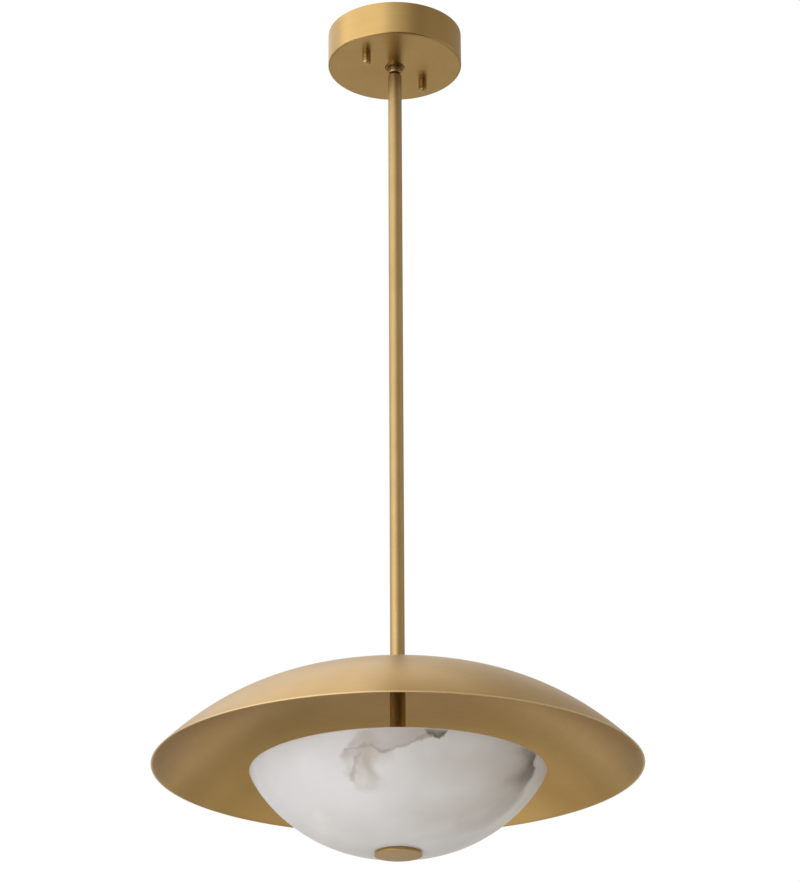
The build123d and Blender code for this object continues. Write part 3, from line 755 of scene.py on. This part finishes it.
class PieceTree:
    """A tree of geometry nodes with named inputs, which forms a piece.

    Attributes:
        name: The tree's name.
        sizes: The kind of each of its inputs, by name, besides the shape and the finish.
        tree: The tree itself.
        keys: Each input's identifier, by its name.
    """

    name: ClassVar[str]
    sizes: ClassVar[dict[str, str]]

    def __init__(self) -> None:
        """Builds the tree: its inputs, its forming nodes, and the nodes that finish the piece."""
        self.tree = bpy.data.node_groups.new(self.name, "GeometryNodeTree")
        face = self.tree.interface
        self.keys: dict[str, str] = {}
        for label, kind in {"Shape": "Geometry", **self.sizes, "Finish": "Material"}.items():
            socket = face.new_socket(label, in_out="INPUT", socket_type=f"NodeSocket{kind}")
            self.keys[label] = socket.identifier
        face.new_socket("Piece", in_out="OUTPUT", socket_type="NodeSocketGeometry")
        given = add_node(self.tree, "NodeGroupInput")
        real = add_node(self.tree, "GeometryNodeRealizeInstances", {"Geometry": self.form(given)})[0]
        finish = {"Geometry": real, "Material": given["Finish"]}
        dressed = add_node(self.tree, "GeometryNodeSetMaterial", finish)[0]
        add_node(self.tree, "NodeGroupOutput", {"Piece": dressed})

    def form(self, given: Outputs) -> Socket:
        """Adds the nodes that form the piece.

        Args:
            given: The tree's inputs.

        Returns:
            The formed shape.
        """
        raise NotImplementedError

    def run(self, piece: Piece, sizes: dict[str, float]) -> Piece:
        """Runs a piece through the tree, and makes the result its own plain mesh.

        Args:
            piece: The piece, with one material.
            sizes: What each of the tree's inputs gets, by its name.

        Returns:
            The same piece, without the tree.
        """
        material = piece.data.materials[0]
        maker = piece.modifiers.new(self.name, "NODES")
        maker.node_group = self.tree
        for label, value in {**sizes, "Finish": material}.items():
            maker[self.keys[label]] = value
        formed = piece.evaluated_get(bpy.context.evaluated_depsgraph_get())
        mesh = bpy.data.meshes.new_from_object(formed)
        mesh.materials.clear()
        mesh.materials.append(material)
        piece.modifiers.clear()
        piece.data = mesh
        log.info("%s: %s, %d faces", piece.name, self.name.lower(), len(mesh.polygons))
        return piece


class LatheTree(PieceTree):
    """Geometry nodes that turn a profile round the light's axis, as a lathe or a spinning chuck does."""

    name = "Lathe"
    sizes = {"Segments": "Int", "Points": "Int", "Sharp corner": "Float"}

    # Edges that turn more than this stay sharp, and points nearer than this are one.
    sharp_corner_deg: ClassVar[float] = 35.0
    seam_mm: ClassVar[float] = 0.001

    def form(self, given: Outputs) -> Socket:
        """Wraps a grid round the axis, one row for each point of the profile.

        Args:
            given: The tree's inputs.

        Returns:
            The turned shape, with its seam and poles closed.
        """
        tree = self.tree
        columns = add_node(tree, MATH, (given["Segments"], 1.0), operation="ADD")[0]
        size = {"Size X": 1.0, "Size Y": 1.0, "Vertices X": columns, "Vertices Y": given["Points"]}
        grid = add_node(tree, "GeometryNodeMeshGrid", size)["Mesh"]
        position = add_node(tree, "GeometryNodeInputPosition")[0]
        place = add_node(tree, SPLIT, (position,))

        # The grid is one wide and one high, about its middle: its width is one turn.
        turn = add_node(tree, MATH, (place[0], 2 * pi), operation="MULTIPLY")[0]
        share = add_node(tree, MATH, (place[1], 0.5), operation="ADD")[0]
        last = add_node(tree, MATH, (given["Points"], 1.0), operation="SUBTRACT")[0]
        number = add_node(tree, MATH, (share, last), operation="MULTIPLY")[0]
        row = add_node(tree, MATH, (number,), operation="ROUND")[0]
        look_up = {"Geometry": given["Shape"], "Value": position, "Index": row}
        point = add_node(tree, "GeometryNodeSampleIndex", look_up, data_type="FLOAT_VECTOR")[0]
        radius, _, level = add_node(tree, SPLIT, (point,))
        ways = (add_node(tree, MATH, (turn,), operation=name)[0] for name in ("COSINE", "SINE"))
        right, back = (add_node(tree, MATH, (radius, way), operation="MULTIPLY")[0] for way in ways)
        spun = add_node(tree, JOIN, (right, back, level))[0]
        wrapped = add_node(tree, "GeometryNodeSetPosition", {"Geometry": grid, "Position": spun})[0]
        seam = {"Geometry": wrapped, "Distance": self.seam_mm * MM}
        closed = add_node(tree, "GeometryNodeMergeByDistance", seam)[0]

        angle = add_node(tree, "GeometryNodeInputMeshEdgeAngle")["Unsigned Angle"]
        soft = add_node(tree, MATH, (angle, given["Sharp corner"]), operation="LESS_THAN")[0]
        faces = add_node(tree, "GeometryNodeSetShadeSmooth", {"Geometry": closed}, domain="FACE")[0]
        edges = {"Geometry": faces, "Shade Smooth": soft}
        return add_node(tree, "GeometryNodeSetShadeSmooth", edges, domain="EDGE")[0]

    def spin(self, name: str, profile: list[Point], segments: int, finish: Finish) -> Piece:
        """Turns a closed profile into a piece.

        Args:
            name: The piece's name.
            profile: Radius and level of the profile's points, anticlockwise, its first point not repeated.
            segments: How many faces go round the axis.
            finish: The piece's finish.

        Returns:
            The piece, at the origin, as a plain mesh.
        """
        loop = profile + profile[:1]
        outline = bpy.data.meshes.new(name)
        edges = [(number, number + 1) for number in range(len(profile))]
        outline.from_pydata([(radius, 0.0, level) for radius, level in loop], edges, [])
        outline.materials.append(finish.material())
        corner = radians(self.sharp_corner_deg)
        sizes = {"Segments": segments, "Points": len(loop), "Sharp corner": corner}
        return self.run(add_object(name, outline), sizes)


class ThreadTree(PieceTree):
    """Geometry nodes that cut a screw thread into the outside of a turned tube."""

    name = "Thread"
    sizes = {"Radius": "Float", "Pitch": "Float", "Depth": "Float"}

    # Points beyond this share of the radius are on the outside.
    outside_share: ClassVar[float] = 0.99
    # Half a pitch is cut down and half up.
    flank: ClassVar[float] = 0.5

    def form(self, given: Outputs) -> Socket:
        """Sinks points on the outside by a wave that climbs one pitch for each turn.

        Args:
            given: The tree's inputs.

        Returns:
            The threaded shape.
        """
        tree = self.tree
        position = add_node(tree, "GeometryNodeInputPosition")[0]
        across, back, level = add_node(tree, SPLIT, (position,))
        flat = add_node(tree, VECTOR, (position, LEVEL), operation="MULTIPLY")[0]
        radius = add_node(tree, VECTOR, (flat,), operation="LENGTH")["Value"]
        skin = add_node(tree, MATH, (given["Radius"], self.outside_share), operation="MULTIPLY")[0]
        outside = add_node(tree, MATH, (radius, skin), operation="GREATER_THAN")[0]
        turn = add_node(tree, MATH, (back, across), operation="ARCTAN2")[0]
        climbed = add_node(tree, MATH, (turn, 2 * pi), operation="DIVIDE")[0]
        pitches = add_node(tree, MATH, (level, given["Pitch"]), operation="DIVIDE")[0]
        phase = add_node(tree, MATH, (pitches, climbed), operation="SUBTRACT")[0]
        wave = add_node(tree, MATH, (phase, self.flank), operation="PINGPONG")[0]
        cut = add_node(tree, MATH, (wave, given["Depth"]), operation="MULTIPLY")[0]
        sink = add_node(tree, MATH, (cut, -1 / self.flank), operation="MULTIPLY")[0]
        outwards = add_node(tree, VECTOR, (flat,), operation="NORMALIZE")[0]
        shift = add_node(tree, VECTOR, {0: outwards, "Scale": sink}, operation="SCALE")[0]
        move = {"Geometry": given["Shape"], "Selection": outside, "Offset": shift}
        return add_node(tree, "GeometryNodeSetPosition", move)[0]


def rounded(start: Point, corner: Point, end: Point, steps: int) -> list[Point]:
    """Rounds a corner of a profile.

    Args:
        start: Where the rounding leaves the first side.
        corner: The sharp corner.
        end: Where it meets the second side.
        steps: How many straight steps it has.

    Returns:
        Its points, from start to end.
    """
    points = []
    for step in range(steps + 1):
        share = step / steps
        first, middle, last = (1 - share) ** 2, 2 * share * (1 - share), share**2
        points.append(tuple(first * a + middle * b + last * c for a, b, c in zip(start, corner, end)))
    return points


def towards(start: Point, end: Point, distance: float) -> Point:
    """Goes a distance from one point of a profile towards another."""
    step = Vector(end) - Vector(start)
    return tuple(Vector(start) + step.normalized() * distance)


class SubAssembly:
    """A part of the light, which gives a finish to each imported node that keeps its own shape.

    Attributes:
        finishes: Those nodes, by their finish.
    """

    finishes: ClassVar[dict[Finish, tuple[str, ...]]]

    def dress(self) -> None:
        """Gives each of those nodes its finish."""
        for finish, nodes in self.finishes.items():
            for node in nodes:
                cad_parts[node].material_slots[0].material = finish.material()
                log.info("%s: %s", node, finish.name)


class CeilingFitting(SubAssembly):
    """The canopy, what it hides, and the seat of the swivel."""

    finishes = {
        SATIN_BRASS: ("canopy", "swivel_seat"),
        # The canopy's nuts get the paler brass: a painted highlight.
        HIGHLIGHT_BRASS: ("canopy_nut_1", "canopy_nut_2"),
        ZINC_STEEL: (
            "mounting_plate", "canopy_studs", "stud_lock_nuts", "terminal_screws", "block_screws", "key_pin",
            "swivel_key",
        ),
        GREEN_STEEL: ("earth_screw",),
        WHITE_PLASTIC: ("terminal_block",),
        TURNED_BRASS: ("terminal_tubes",),
    }


@dataclass
class Stem(SubAssembly):
    """The swivel's ball, the neck and the stem down to the shade.

    Attributes:
        thread_radius_mm: The neck's thread.
        thread_pitch_mm: Its pitch.
        thread_depth_mm: Its depth.
        bore_radius_mm: The hole for the lead.
        thread_steps: How many rows of faces each turn of the thread has.
        bead_mm: The bead's outline under the ball, as radius and depth below its top.
        bead_hole_mm: The radius of the bead's hole.
        segments: How many faces go round the axis.
    """

    # The ball's darker brass is painted shade.
    finishes = {SHADED_BALL_BRASS: ("swivel_ball",), DRAWN_BRASS: ("stem_tube", "lower_stem")}

    thread_radius_mm: float = 5.0
    thread_pitch_mm: float = 1.0
    thread_depth_mm: float = 0.55
    bore_radius_mm: float = 3.5
    thread_steps: int = 8
    bead_mm: tuple[Point, ...] = (
        (6.1, 0.0), (6.4, 0.4), (6.5, 1.0), (6.5, 4.4), (6.45, 5.0), (6.3, 5.5), (6.1, 5.85), (5.8, 6.1),
    )
    bead_hole_mm: float = 5.05
    segments: int = 96

    def build(self, lathe: LatheTree, threads: ThreadTree) -> None:
        """Makes the bead under the ball, and the threaded neck that shows in the gap under it.

        Args:
            lathe: The tree that turns a profile.
            threads: The tree that cuts a thread.
        """
        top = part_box("neck_collar")[1].z
        side = [(radius * MM, top - depth * MM) for radius, depth in reversed(self.bead_mm)]
        hole = self.bead_hole_mm * MM
        profile = [(hole, side[0][1]), *side, (hole, top)]
        # The bead gets the paler brass: a painted highlight.
        bead = lathe.spin("neck_bead", profile, self.segments, HIGHLIGHT_BRASS)
        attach(bead, "stem")
        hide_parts("neck_collar")

        low, high = (corner.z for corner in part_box("neck_nipple"))
        radius, bore, pitch = self.thread_radius_mm * MM, self.bore_radius_mm * MM, self.thread_pitch_mm * MM
        rows = round((high - low) / pitch * self.thread_steps)
        side = [(radius, low + (high - low) * row / rows) for row in range(rows + 1)]
        profile = [(bore, low), *side, (bore, high)]
        # The thread is painted dark: painted shade in the gap under the bead.
        neck = lathe.spin("neck_thread", profile, self.segments, SHADED_THREAD_BRASS)
        threads.run(neck, {"Radius": radius, "Pitch": pitch, "Depth": self.thread_depth_mm * MM})
        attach(neck, "stem")
        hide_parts("neck_nipple")


@dataclass
class SpunShade(SubAssembly):
    """The shade: a dome spun from sheet brass, and what clamps it to the stem.

    Attributes:
        rim_radius_mm: The sharp rim's radius.
        height_mm: The dome's height.
        curve: The power of the radius that it falls by.
        wall_mm: The sheet's thickness.
        crown_radius_mm: The flat crown's radius.
        hole_radius_mm: The hole for the threaded tube.
        rim_round_mm: How far back from each corner the rim is rounded.
        rim_steps: How many steps each rounding has.
        rings: How many rings of faces each skin has.
        segments: How many faces go round the axis.
    """

    finishes = {ZINC_STEEL: ("shade_nipple", "shade_washer", "shade_lock_washer", "shade_nut")}

    rim_radius_mm: float = 215.5
    height_mm: float = 79.1
    curve: float = 2.8
    wall_mm: float = 1.2
    crown_radius_mm: float = 18.0
    hole_radius_mm: float = 5.3
    rim_round_mm: float = 0.75
    rim_steps: int = 4
    rings: int = 60
    segments: int = 288

    def skin(self, crown: float, rim_radius_mm: float, height_mm: float) -> list[Point]:
        """Works out one skin of the dome, from the crown to the rim.

        Args:
            crown: The level of the crown's top.
            rim_radius_mm: The skin's radius at the rim.
            height_mm: The skin's height above the rim.

        Returns:
            Radius and level of each point.
        """
        flat = (self.crown_radius_mm / self.rim_radius_mm) ** self.curve
        rim = crown - self.height_mm * (1 - flat) * MM
        stride = (rim_radius_mm - self.crown_radius_mm) / self.rings
        radii = [self.crown_radius_mm + stride * ring for ring in range(self.rings + 1)]
        falls = [1 - (radius / rim_radius_mm) ** self.curve for radius in radii]
        return [(radius * MM, rim + height_mm * fall * MM) for radius, fall in zip(radii, falls)]

    def profile(self) -> list[Point]:
        """Works out the shade's closed profile.

        Returns:
            Radius and level of each point, anticlockwise.
        """
        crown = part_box("shade")[1].z
        lean = atan(self.height_mm * self.curve / self.rim_radius_mm)
        inner_radius_mm = self.rim_radius_mm - self.wall_mm / sin(lean)
        *inside, inner_corner = self.skin(crown, inner_radius_mm, self.height_mm - self.wall_mm)
        outer_corner, *outside = self.skin(crown, self.rim_radius_mm, self.height_mm)[::-1]
        reach = self.rim_round_mm * MM
        turns = ((inside[-1], inner_corner, outer_corner), (inner_corner, outer_corner, outside[0]))
        rim = []
        for before, corner, after in turns:
            start, end = towards(corner, before, reach), towards(corner, after, reach)
            rim += rounded(start, corner, end, self.rim_steps)
        hole = self.hole_radius_mm * MM
        return [(hole, inside[0][1]), *inside, *rim, *outside, (hole, outside[-1][1])]

    def build(self, lathe: LatheTree) -> None:
        """Makes the dome.

        Args:
            lathe: The tree that turns a profile.
        """
        dome = lathe.spin("spun_shade", self.profile(), self.segments, SHADE_BRASS)
        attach(dome, "stem")
        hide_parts("shade")


class LampHub(SubAssembly):
    """The box under the shade that carries the lamps, and what the bowl is pulled up against."""

    finishes = {
        SATIN_BRASS: ("lamp_hub", "hub_cover", "clamp_plate"),
        ZINC_STEEL: (
            "hub_lock_washer", "hub_nut", "bowl_nipple", "bulb_pins", "socket_nuts", "bowl_stop_nut",
        ),
        WHITE_CERAMIC: ("lamp_socket_1", "lamp_socket_2", "lamp_socket_3"),
        FROSTED_GLASS: ("bulb_1", "bulb_2", "bulb_3"),
        BLACK_RUBBER: ("clamp_gasket",),
    }


@dataclass
class StoneBowl(SubAssembly):
    """The alabaster bowl, the bush in its hole, and the finial that holds it up with its gasket.

    Attributes:
        rim_radius_mm: The sharp rim's radius.
        side: The power of the radius in the bowl's curve.
        belly: The power of the depth in the bowl's curve.
        wall_mm: The stone's thickness at the rim.
        floor_mm: The stone's thickness at the foot.
        foot_radius_mm: The outer foot's radius.
        inner_foot_radius_mm: The inner foot's radius.
        hole_radius_mm: The hole for the threaded tube.
        rim_round_mm: How far back from each corner the rim is rounded.
        rim_steps: How many steps each rounding has.
        rings: How many rings of faces each skin has.
        segments: How many faces go round the axis.
        finial_radius_mm: The finial's radius underneath.
        finial_top_radius_mm: Its radius at the top, where its edge leans in.
        finial_round_mm: How far back from the corner its edge is rounded.
        finial_steps: How many steps that rounding has.
        finial_recess_mm: The radius of the recess for its gasket.
        finial_boss_mm: The radius of its boss.
        finial_hole_mm: The radius of the boss's hole.
        finial_gap_mm: How far its edge stays clear of the stone.
    """

    finishes = {WHITE_PLASTIC: ("bowl_bush",), BLACK_RUBBER: ("finial_gasket",)}

    rim_radius_mm: float = 130.0
    side: float = 2.287
    belly: float = 1.243
    wall_mm: float = 8.0
    floor_mm: float = 9.0
    foot_radius_mm: float = 21.5
    inner_foot_radius_mm: float = 26.0
    hole_radius_mm: float = 10.0
    rim_round_mm: float = 1.4
    rim_steps: int = 8
    rings: int = 56
    segments: int = 256
    finial_radius_mm: float = 21.0
    finial_top_radius_mm: float = 20.2
    finial_round_mm: float = 0.4
    finial_steps: int = 4
    finial_recess_mm: float = 19.8
    finial_boss_mm: float = 8.0
    finial_hole_mm: float = 5.05
    finial_gap_mm: float = 0.3

    def skin(self, rim: float, rim_radius_mm: float, foot_radius_mm: float, sink_mm: float) -> list[Point]:
        """Works out one skin of the bowl, from its flat foot up to where its rim is rounded.

        Args:
            rim: The level of the rim.
            rim_radius_mm: The skin's radius at the sharp rim.
            foot_radius_mm: Its radius at the foot.
            sink_mm: How far below the rim the foot is.

        Returns:
            Radius and level of each point.
        """
        foot_turn = acos((foot_radius_mm / rim_radius_mm) ** (self.side / 2))
        depth_mm = sink_mm / sin(foot_turn) ** (2 / self.belly)
        rim_turn = asin((self.rim_round_mm / depth_mm) ** (self.belly / 2))
        points = []
        for ring in range(self.rings + 1):
            turn = foot_turn + (rim_turn - foot_turn) * ring / self.rings
            radius_mm = rim_radius_mm * cos(turn) ** (2 / self.side)
            points.append((radius_mm * MM, rim - depth_mm * sin(turn) ** (2 / self.belly) * MM))
        return points

    def profile(self) -> list[Point]:
        """Works out the bowl's closed profile.

        Returns:
            Radius and level of each point, anticlockwise.
        """
        foot, rim = (corner.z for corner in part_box("alabaster_bowl"))
        sink_mm = (rim - foot) / MM
        outside = self.skin(rim, self.rim_radius_mm, self.foot_radius_mm, sink_mm)
        inner_radius_mm = self.rim_radius_mm - self.wall_mm
        inside = self.skin(rim, inner_radius_mm, self.inner_foot_radius_mm, sink_mm - self.floor_mm)[::-1]
        outer_corner, inner_corner = (self.rim_radius_mm * MM, rim), (inner_radius_mm * MM, rim)
        reach = self.rim_round_mm * MM
        outer_end = towards(outer_corner, inner_corner, reach)
        inner_start = towards(inner_corner, outer_corner, reach)
        outer_rim = rounded(outside[-1], outer_corner, outer_end, self.rim_steps)[1:]
        inner_rim = rounded(inner_start, inner_corner, inside[0], self.rim_steps)[:-1]
        hole = self.hole_radius_mm * MM
        return [(hole, foot), *outside, *outer_rim, *inner_rim, *inside, (hole, inside[-1][1])]

    def finial_profile(self) -> list[Point]:
        """Works out the finial's closed profile.

        Returns:
            Radius and level of each point, anticlockwise.
        """
        under, boss_top = (corner.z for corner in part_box("finial"))
        seat, foot = (corner.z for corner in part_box("finial_gasket"))
        boss, hole, recess = self.finial_boss_mm * MM, self.finial_hole_mm * MM, self.finial_recess_mm * MM
        lip = (self.finial_top_radius_mm * MM, foot - self.finial_gap_mm * MM)
        centre, corner = (0.0, under), (self.finial_radius_mm * MM, under)
        start, end = (towards(corner, point, self.finial_round_mm * MM) for point in (centre, lip))
        edge = rounded(start, corner, end, self.finial_steps)
        gasket_side = [(recess, lip[1]), (recess, seat), (boss, seat)]
        bore = [(boss, boss_top), (hole, boss_top), (hole, seat), (0.0, seat)]
        return [centre, *edge, lip, *gasket_side, *bore]

    def build(self, lathe: LatheTree) -> None:
        """Makes the bowl and the finial.

        Args:
            lathe: The tree that turns a profile.
        """
        rim_level_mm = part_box("alabaster_bowl")[1].z / MM
        stone = PolishedAlabaster("polished_alabaster", "#E6E7ED", "#D9DADF", rim_level_mm, VEINS)
        bowl = lathe.spin("stone_bowl", self.profile(), self.segments, stone)
        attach(bowl, "bowl")
        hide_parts("alabaster_bowl")
        finial = lathe.spin("disc_finial", self.finial_profile(), self.segments, SATIN_BRASS)
        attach(finial, "finial")
        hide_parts("finial")


@dataclass(frozen=True)
class SoftLamp:
    """A large soft lamp of the studio.

    Attributes:
        name: Its name.
        place: Where it is.
        aim: What it points at.
        width: How wide it is.
        height: How high it is.
        power: Its power in watts.
    """

    name: str
    place: Triple
    aim: Triple
    width: float
    height: float
    power: float

    def hang(self) -> None:
        """Adds the lamp to the scene."""
        lamp = bpy.data.lights.new(self.name, "AREA")
        lamp.shape = "RECTANGLE"
        lamp.size = self.width
        lamp.size_y = self.height
        lamp.energy = self.power
        way = Vector(self.aim) - Vector(self.place)
        turn = way.to_track_quat("-Z", "Y").to_matrix().to_4x4()
        add_object(self.name, lamp).matrix_world = Matrix.Translation(self.place) @ turn


@dataclass(frozen=True)
class DarkSide:
    """A darker side of the room, which metal shows.

    Attributes:
        bearing_deg: Where it is darkest, from the front towards the right.
        share: How much darker it is there.
        angles_deg: How far round from there the room is full dark and full white.
        heights_deg: How far up the room is full dark and full white. It stays so beyond each.
    """

    bearing_deg: float
    share: float
    angles_deg: Point
    heights_deg: Point

    def shade(self, tree: Tree, level_way: Socket, height: Socket) -> Socket:
        """Works out how dark the room is in a direction.

        Args:
            tree: The world's tree.
            level_way: The direction, laid level.
            height: How high the direction goes, from -1 to 1.

        Returns:
            How much is taken off, from 0 to 1.
        """
        turn = radians(self.bearing_deg)
        centre = (sin(turn), -cos(turn), 0.0)
        near = add_node(tree, VECTOR, (level_way, centre), operation="DOT_PRODUCT")["Value"]
        full, none = (cos(radians(angle)) for angle in self.angles_deg)
        low, high = (sin(radians(angle)) for angle in self.heights_deg)
        return faded(tree, self.share, (near, none, full), (height, high, low))


@dataclass
class Studio:
    """The white room that the light hangs in: floor, daylight, soft lamps and the camera.

    Attributes:
        floor_level: The floor's level.
        floor_width: How wide the floor is.
        floor: The floor's paint.
        dark_sides: The room's darker sides.
        white: The room's colour.
        dark_tint: The colour that the room goes towards as it gets darker.
        lamps: The soft lamps.
    """

    floor_level: float = -2.45
    floor_width: float = 80.0
    floor: PaintedFloor = PaintedFloor(
        "painted_floor", "#D8D4CC", "#F8F6F2", "#FFFCF6", 10.0,
        (
            (0.0, 0.06), (0.35, 0.06), (0.43, 0.12), (0.46, 0.75), (0.49, 1.0), (0.525, 1.0), (0.545, 0.45),
            (0.575, 1.0), (0.6, 0.42), (0.62, 0.48), (0.67, 0.96), (0.71, 1.0), (0.76, 0.9), (0.805, 0.6),
            (0.88, 0.72), (1.0, 0.72),
        ),
        (
            (0.0, 0.55), (0.3, 0.6), (0.36, 0.88), (0.42, 1.0), (0.47, 0.97), (0.5, 0.97), (0.532, 0.78),
            (0.58, 1.0), (0.64, 0.88), (0.7, 0.6), (1.0, 0.55),
        ),
    )
    dark_sides: tuple[DarkSide, ...] = (
        DarkSide(60.0, 0.5, (25.0, 70.0), (32.0, 64.0)),
        DarkSide(98.0, 0.48, (54.0, 78.0), (32.0, 64.0)),
        DarkSide(100.0, 0.45, (65.0, 84.0), (57.0, 38.0)),
        DarkSide(180.0, 0.22, (50.0, 80.0), (38.0, 60.0)),
    )
    white: str = "#FFFFFF"
    dark_tint: str = "#FFF0D6"
    lamps: tuple[SoftLamp, ...] = (
        SoftLamp("high_lamp", (-2.4, -1.6, 0.9), (0.0, 0.0, -0.1), 5.0, 3.0, 30.0),
        SoftLamp("top_lamp", (-1.2, 0.9, 2.1), (0.0, 0.0, -0.6), 4.0, 3.0, 14.0),
        SoftLamp("low_lamp", (-2.0, -2.3, -1.0), (0.0, 0.0, -0.78), 2.8, 2.2, 36.0),
        SoftLamp("side_lamp", (1.97, -0.35, 0.42), (0.0, 0.0, 0.42), 3.2, 1.0, 6.0),
    )
    # The camera that was fitted to the photograph's edges: its focal length is in the photograph's pixels.
    camera_place: Triple = (0.00322, -2.4693, -1.4718)
    camera_pitch_deg: float = 22.952
    camera_roll_deg: float = -0.292
    camera_focus_px: float = 2934.08
    sensor_mm: float = 36.0

    def build(self) -> None:
        """Sets up the room, the lamps and the camera."""
        bpy.context.scene.view_settings.view_transform = "Standard"
        self.lay_floor()
        self.light_room()
        for lamp in self.lamps:
            lamp.hang()
        self.set_camera()

    def lay_floor(self) -> None:
        """Lays the plain pale floor."""
        half = self.floor_width / 2
        corners = [(-half, -half), (half, -half), (half, half), (-half, half)]
        mesh = bpy.data.meshes.new("floor")
        mesh.from_pydata([(x, y, self.floor_level) for x, y in corners], [], [(0, 1, 2, 3)])
        mesh.materials.append(self.floor.material())
        floor = add_object("floor", mesh)

    def light_room(self) -> None:
        """Makes the room white, with darker sides that show in metal and not to the eye."""
        world = bpy.data.worlds.new("white_room")
        world.use_nodes = True
        tree = world.node_tree
        tree.nodes.clear()
        way = add_node(tree, "ShaderNodeTexCoord")["Generated"]
        flat = add_node(tree, VECTOR, (way, LEVEL), operation="MULTIPLY")[0]
        level_way = add_node(tree, VECTOR, (flat,), operation="NORMALIZE")[0]
        height = add_node(tree, SPLIT, (way,))[Axis.Z.value]
        seen = add_node(tree, "ShaderNodeLightPath")["Is Camera Ray"]
        unseen = add_node(tree, MATH, (1.0, seen), operation="SUBTRACT")[0]
        level: Any = 1.0
        for side in self.dark_sides:
            shade = side.shade(tree, level_way, height)
            hidden = add_node(tree, MATH, (shade, unseen), operation="MULTIPLY")[0]
            left = add_node(tree, MATH, (1.0, hidden), operation="SUBTRACT")[0]
            level = add_node(tree, MATH, (left, level), operation="MULTIPLY")[0]
        dark = add_node(tree, MATH, (1.0, level), operation="SUBTRACT")[0]
        colour = layered(tree, self.white, (dark, self.dark_tint))
        room = add_node(tree, "ShaderNodeBackground", {"Color": colour, "Strength": level})[0]
        add_node(tree, "ShaderNodeOutputWorld", {"Surface": room})
        bpy.context.scene.world = world

    def set_camera(self) -> None:
        """Sets the camera at the photograph's viewing point."""
        pitch, roll = radians(self.camera_pitch_deg), radians(self.camera_roll_deg)
        ahead = Vector((0.0, cos(pitch), sin(pitch)))
        level_up = Vector((0.0, -sin(pitch), cos(pitch)))
        level_right = Vector((1.0, 0.0, 0.0))
        right = level_right * cos(roll) + level_up * sin(roll)
        up = level_up * cos(roll) - level_right * sin(roll)
        data = bpy.data.cameras.new("camera")
        data.sensor_fit = "VERTICAL"
        data.sensor_height = self.sensor_mm
        data.lens = self.camera_focus_px * self.sensor_mm / PHOTO_HEIGHT_PX
        camera = add_object("camera", data)
        turn = Matrix((right, up, -ahead)).transposed().to_4x4()
        camera.matrix_world = Matrix.Translation(self.camera_place) @ turn
        bpy.context.scene.camera = camera


def main() -> None:
    """Builds and dresses the light, then its studio."""
    logging.basicConfig(level=logging.INFO, format="%(name)s: %(message)s")
    lathe, threads = LatheTree(), ThreadTree()
    fitting, stem, shade, hub, bowl = CeilingFitting(), Stem(), SpunShade(), LampHub(), StoneBowl()
    stem.build(lathe, threads)
    shade.build(lathe)
    bowl.build(lathe)
    for part in (fitting, stem, shade, hub, bowl):
        part.dress()
    Studio().build()


if __name__ == "__main__":
    main()
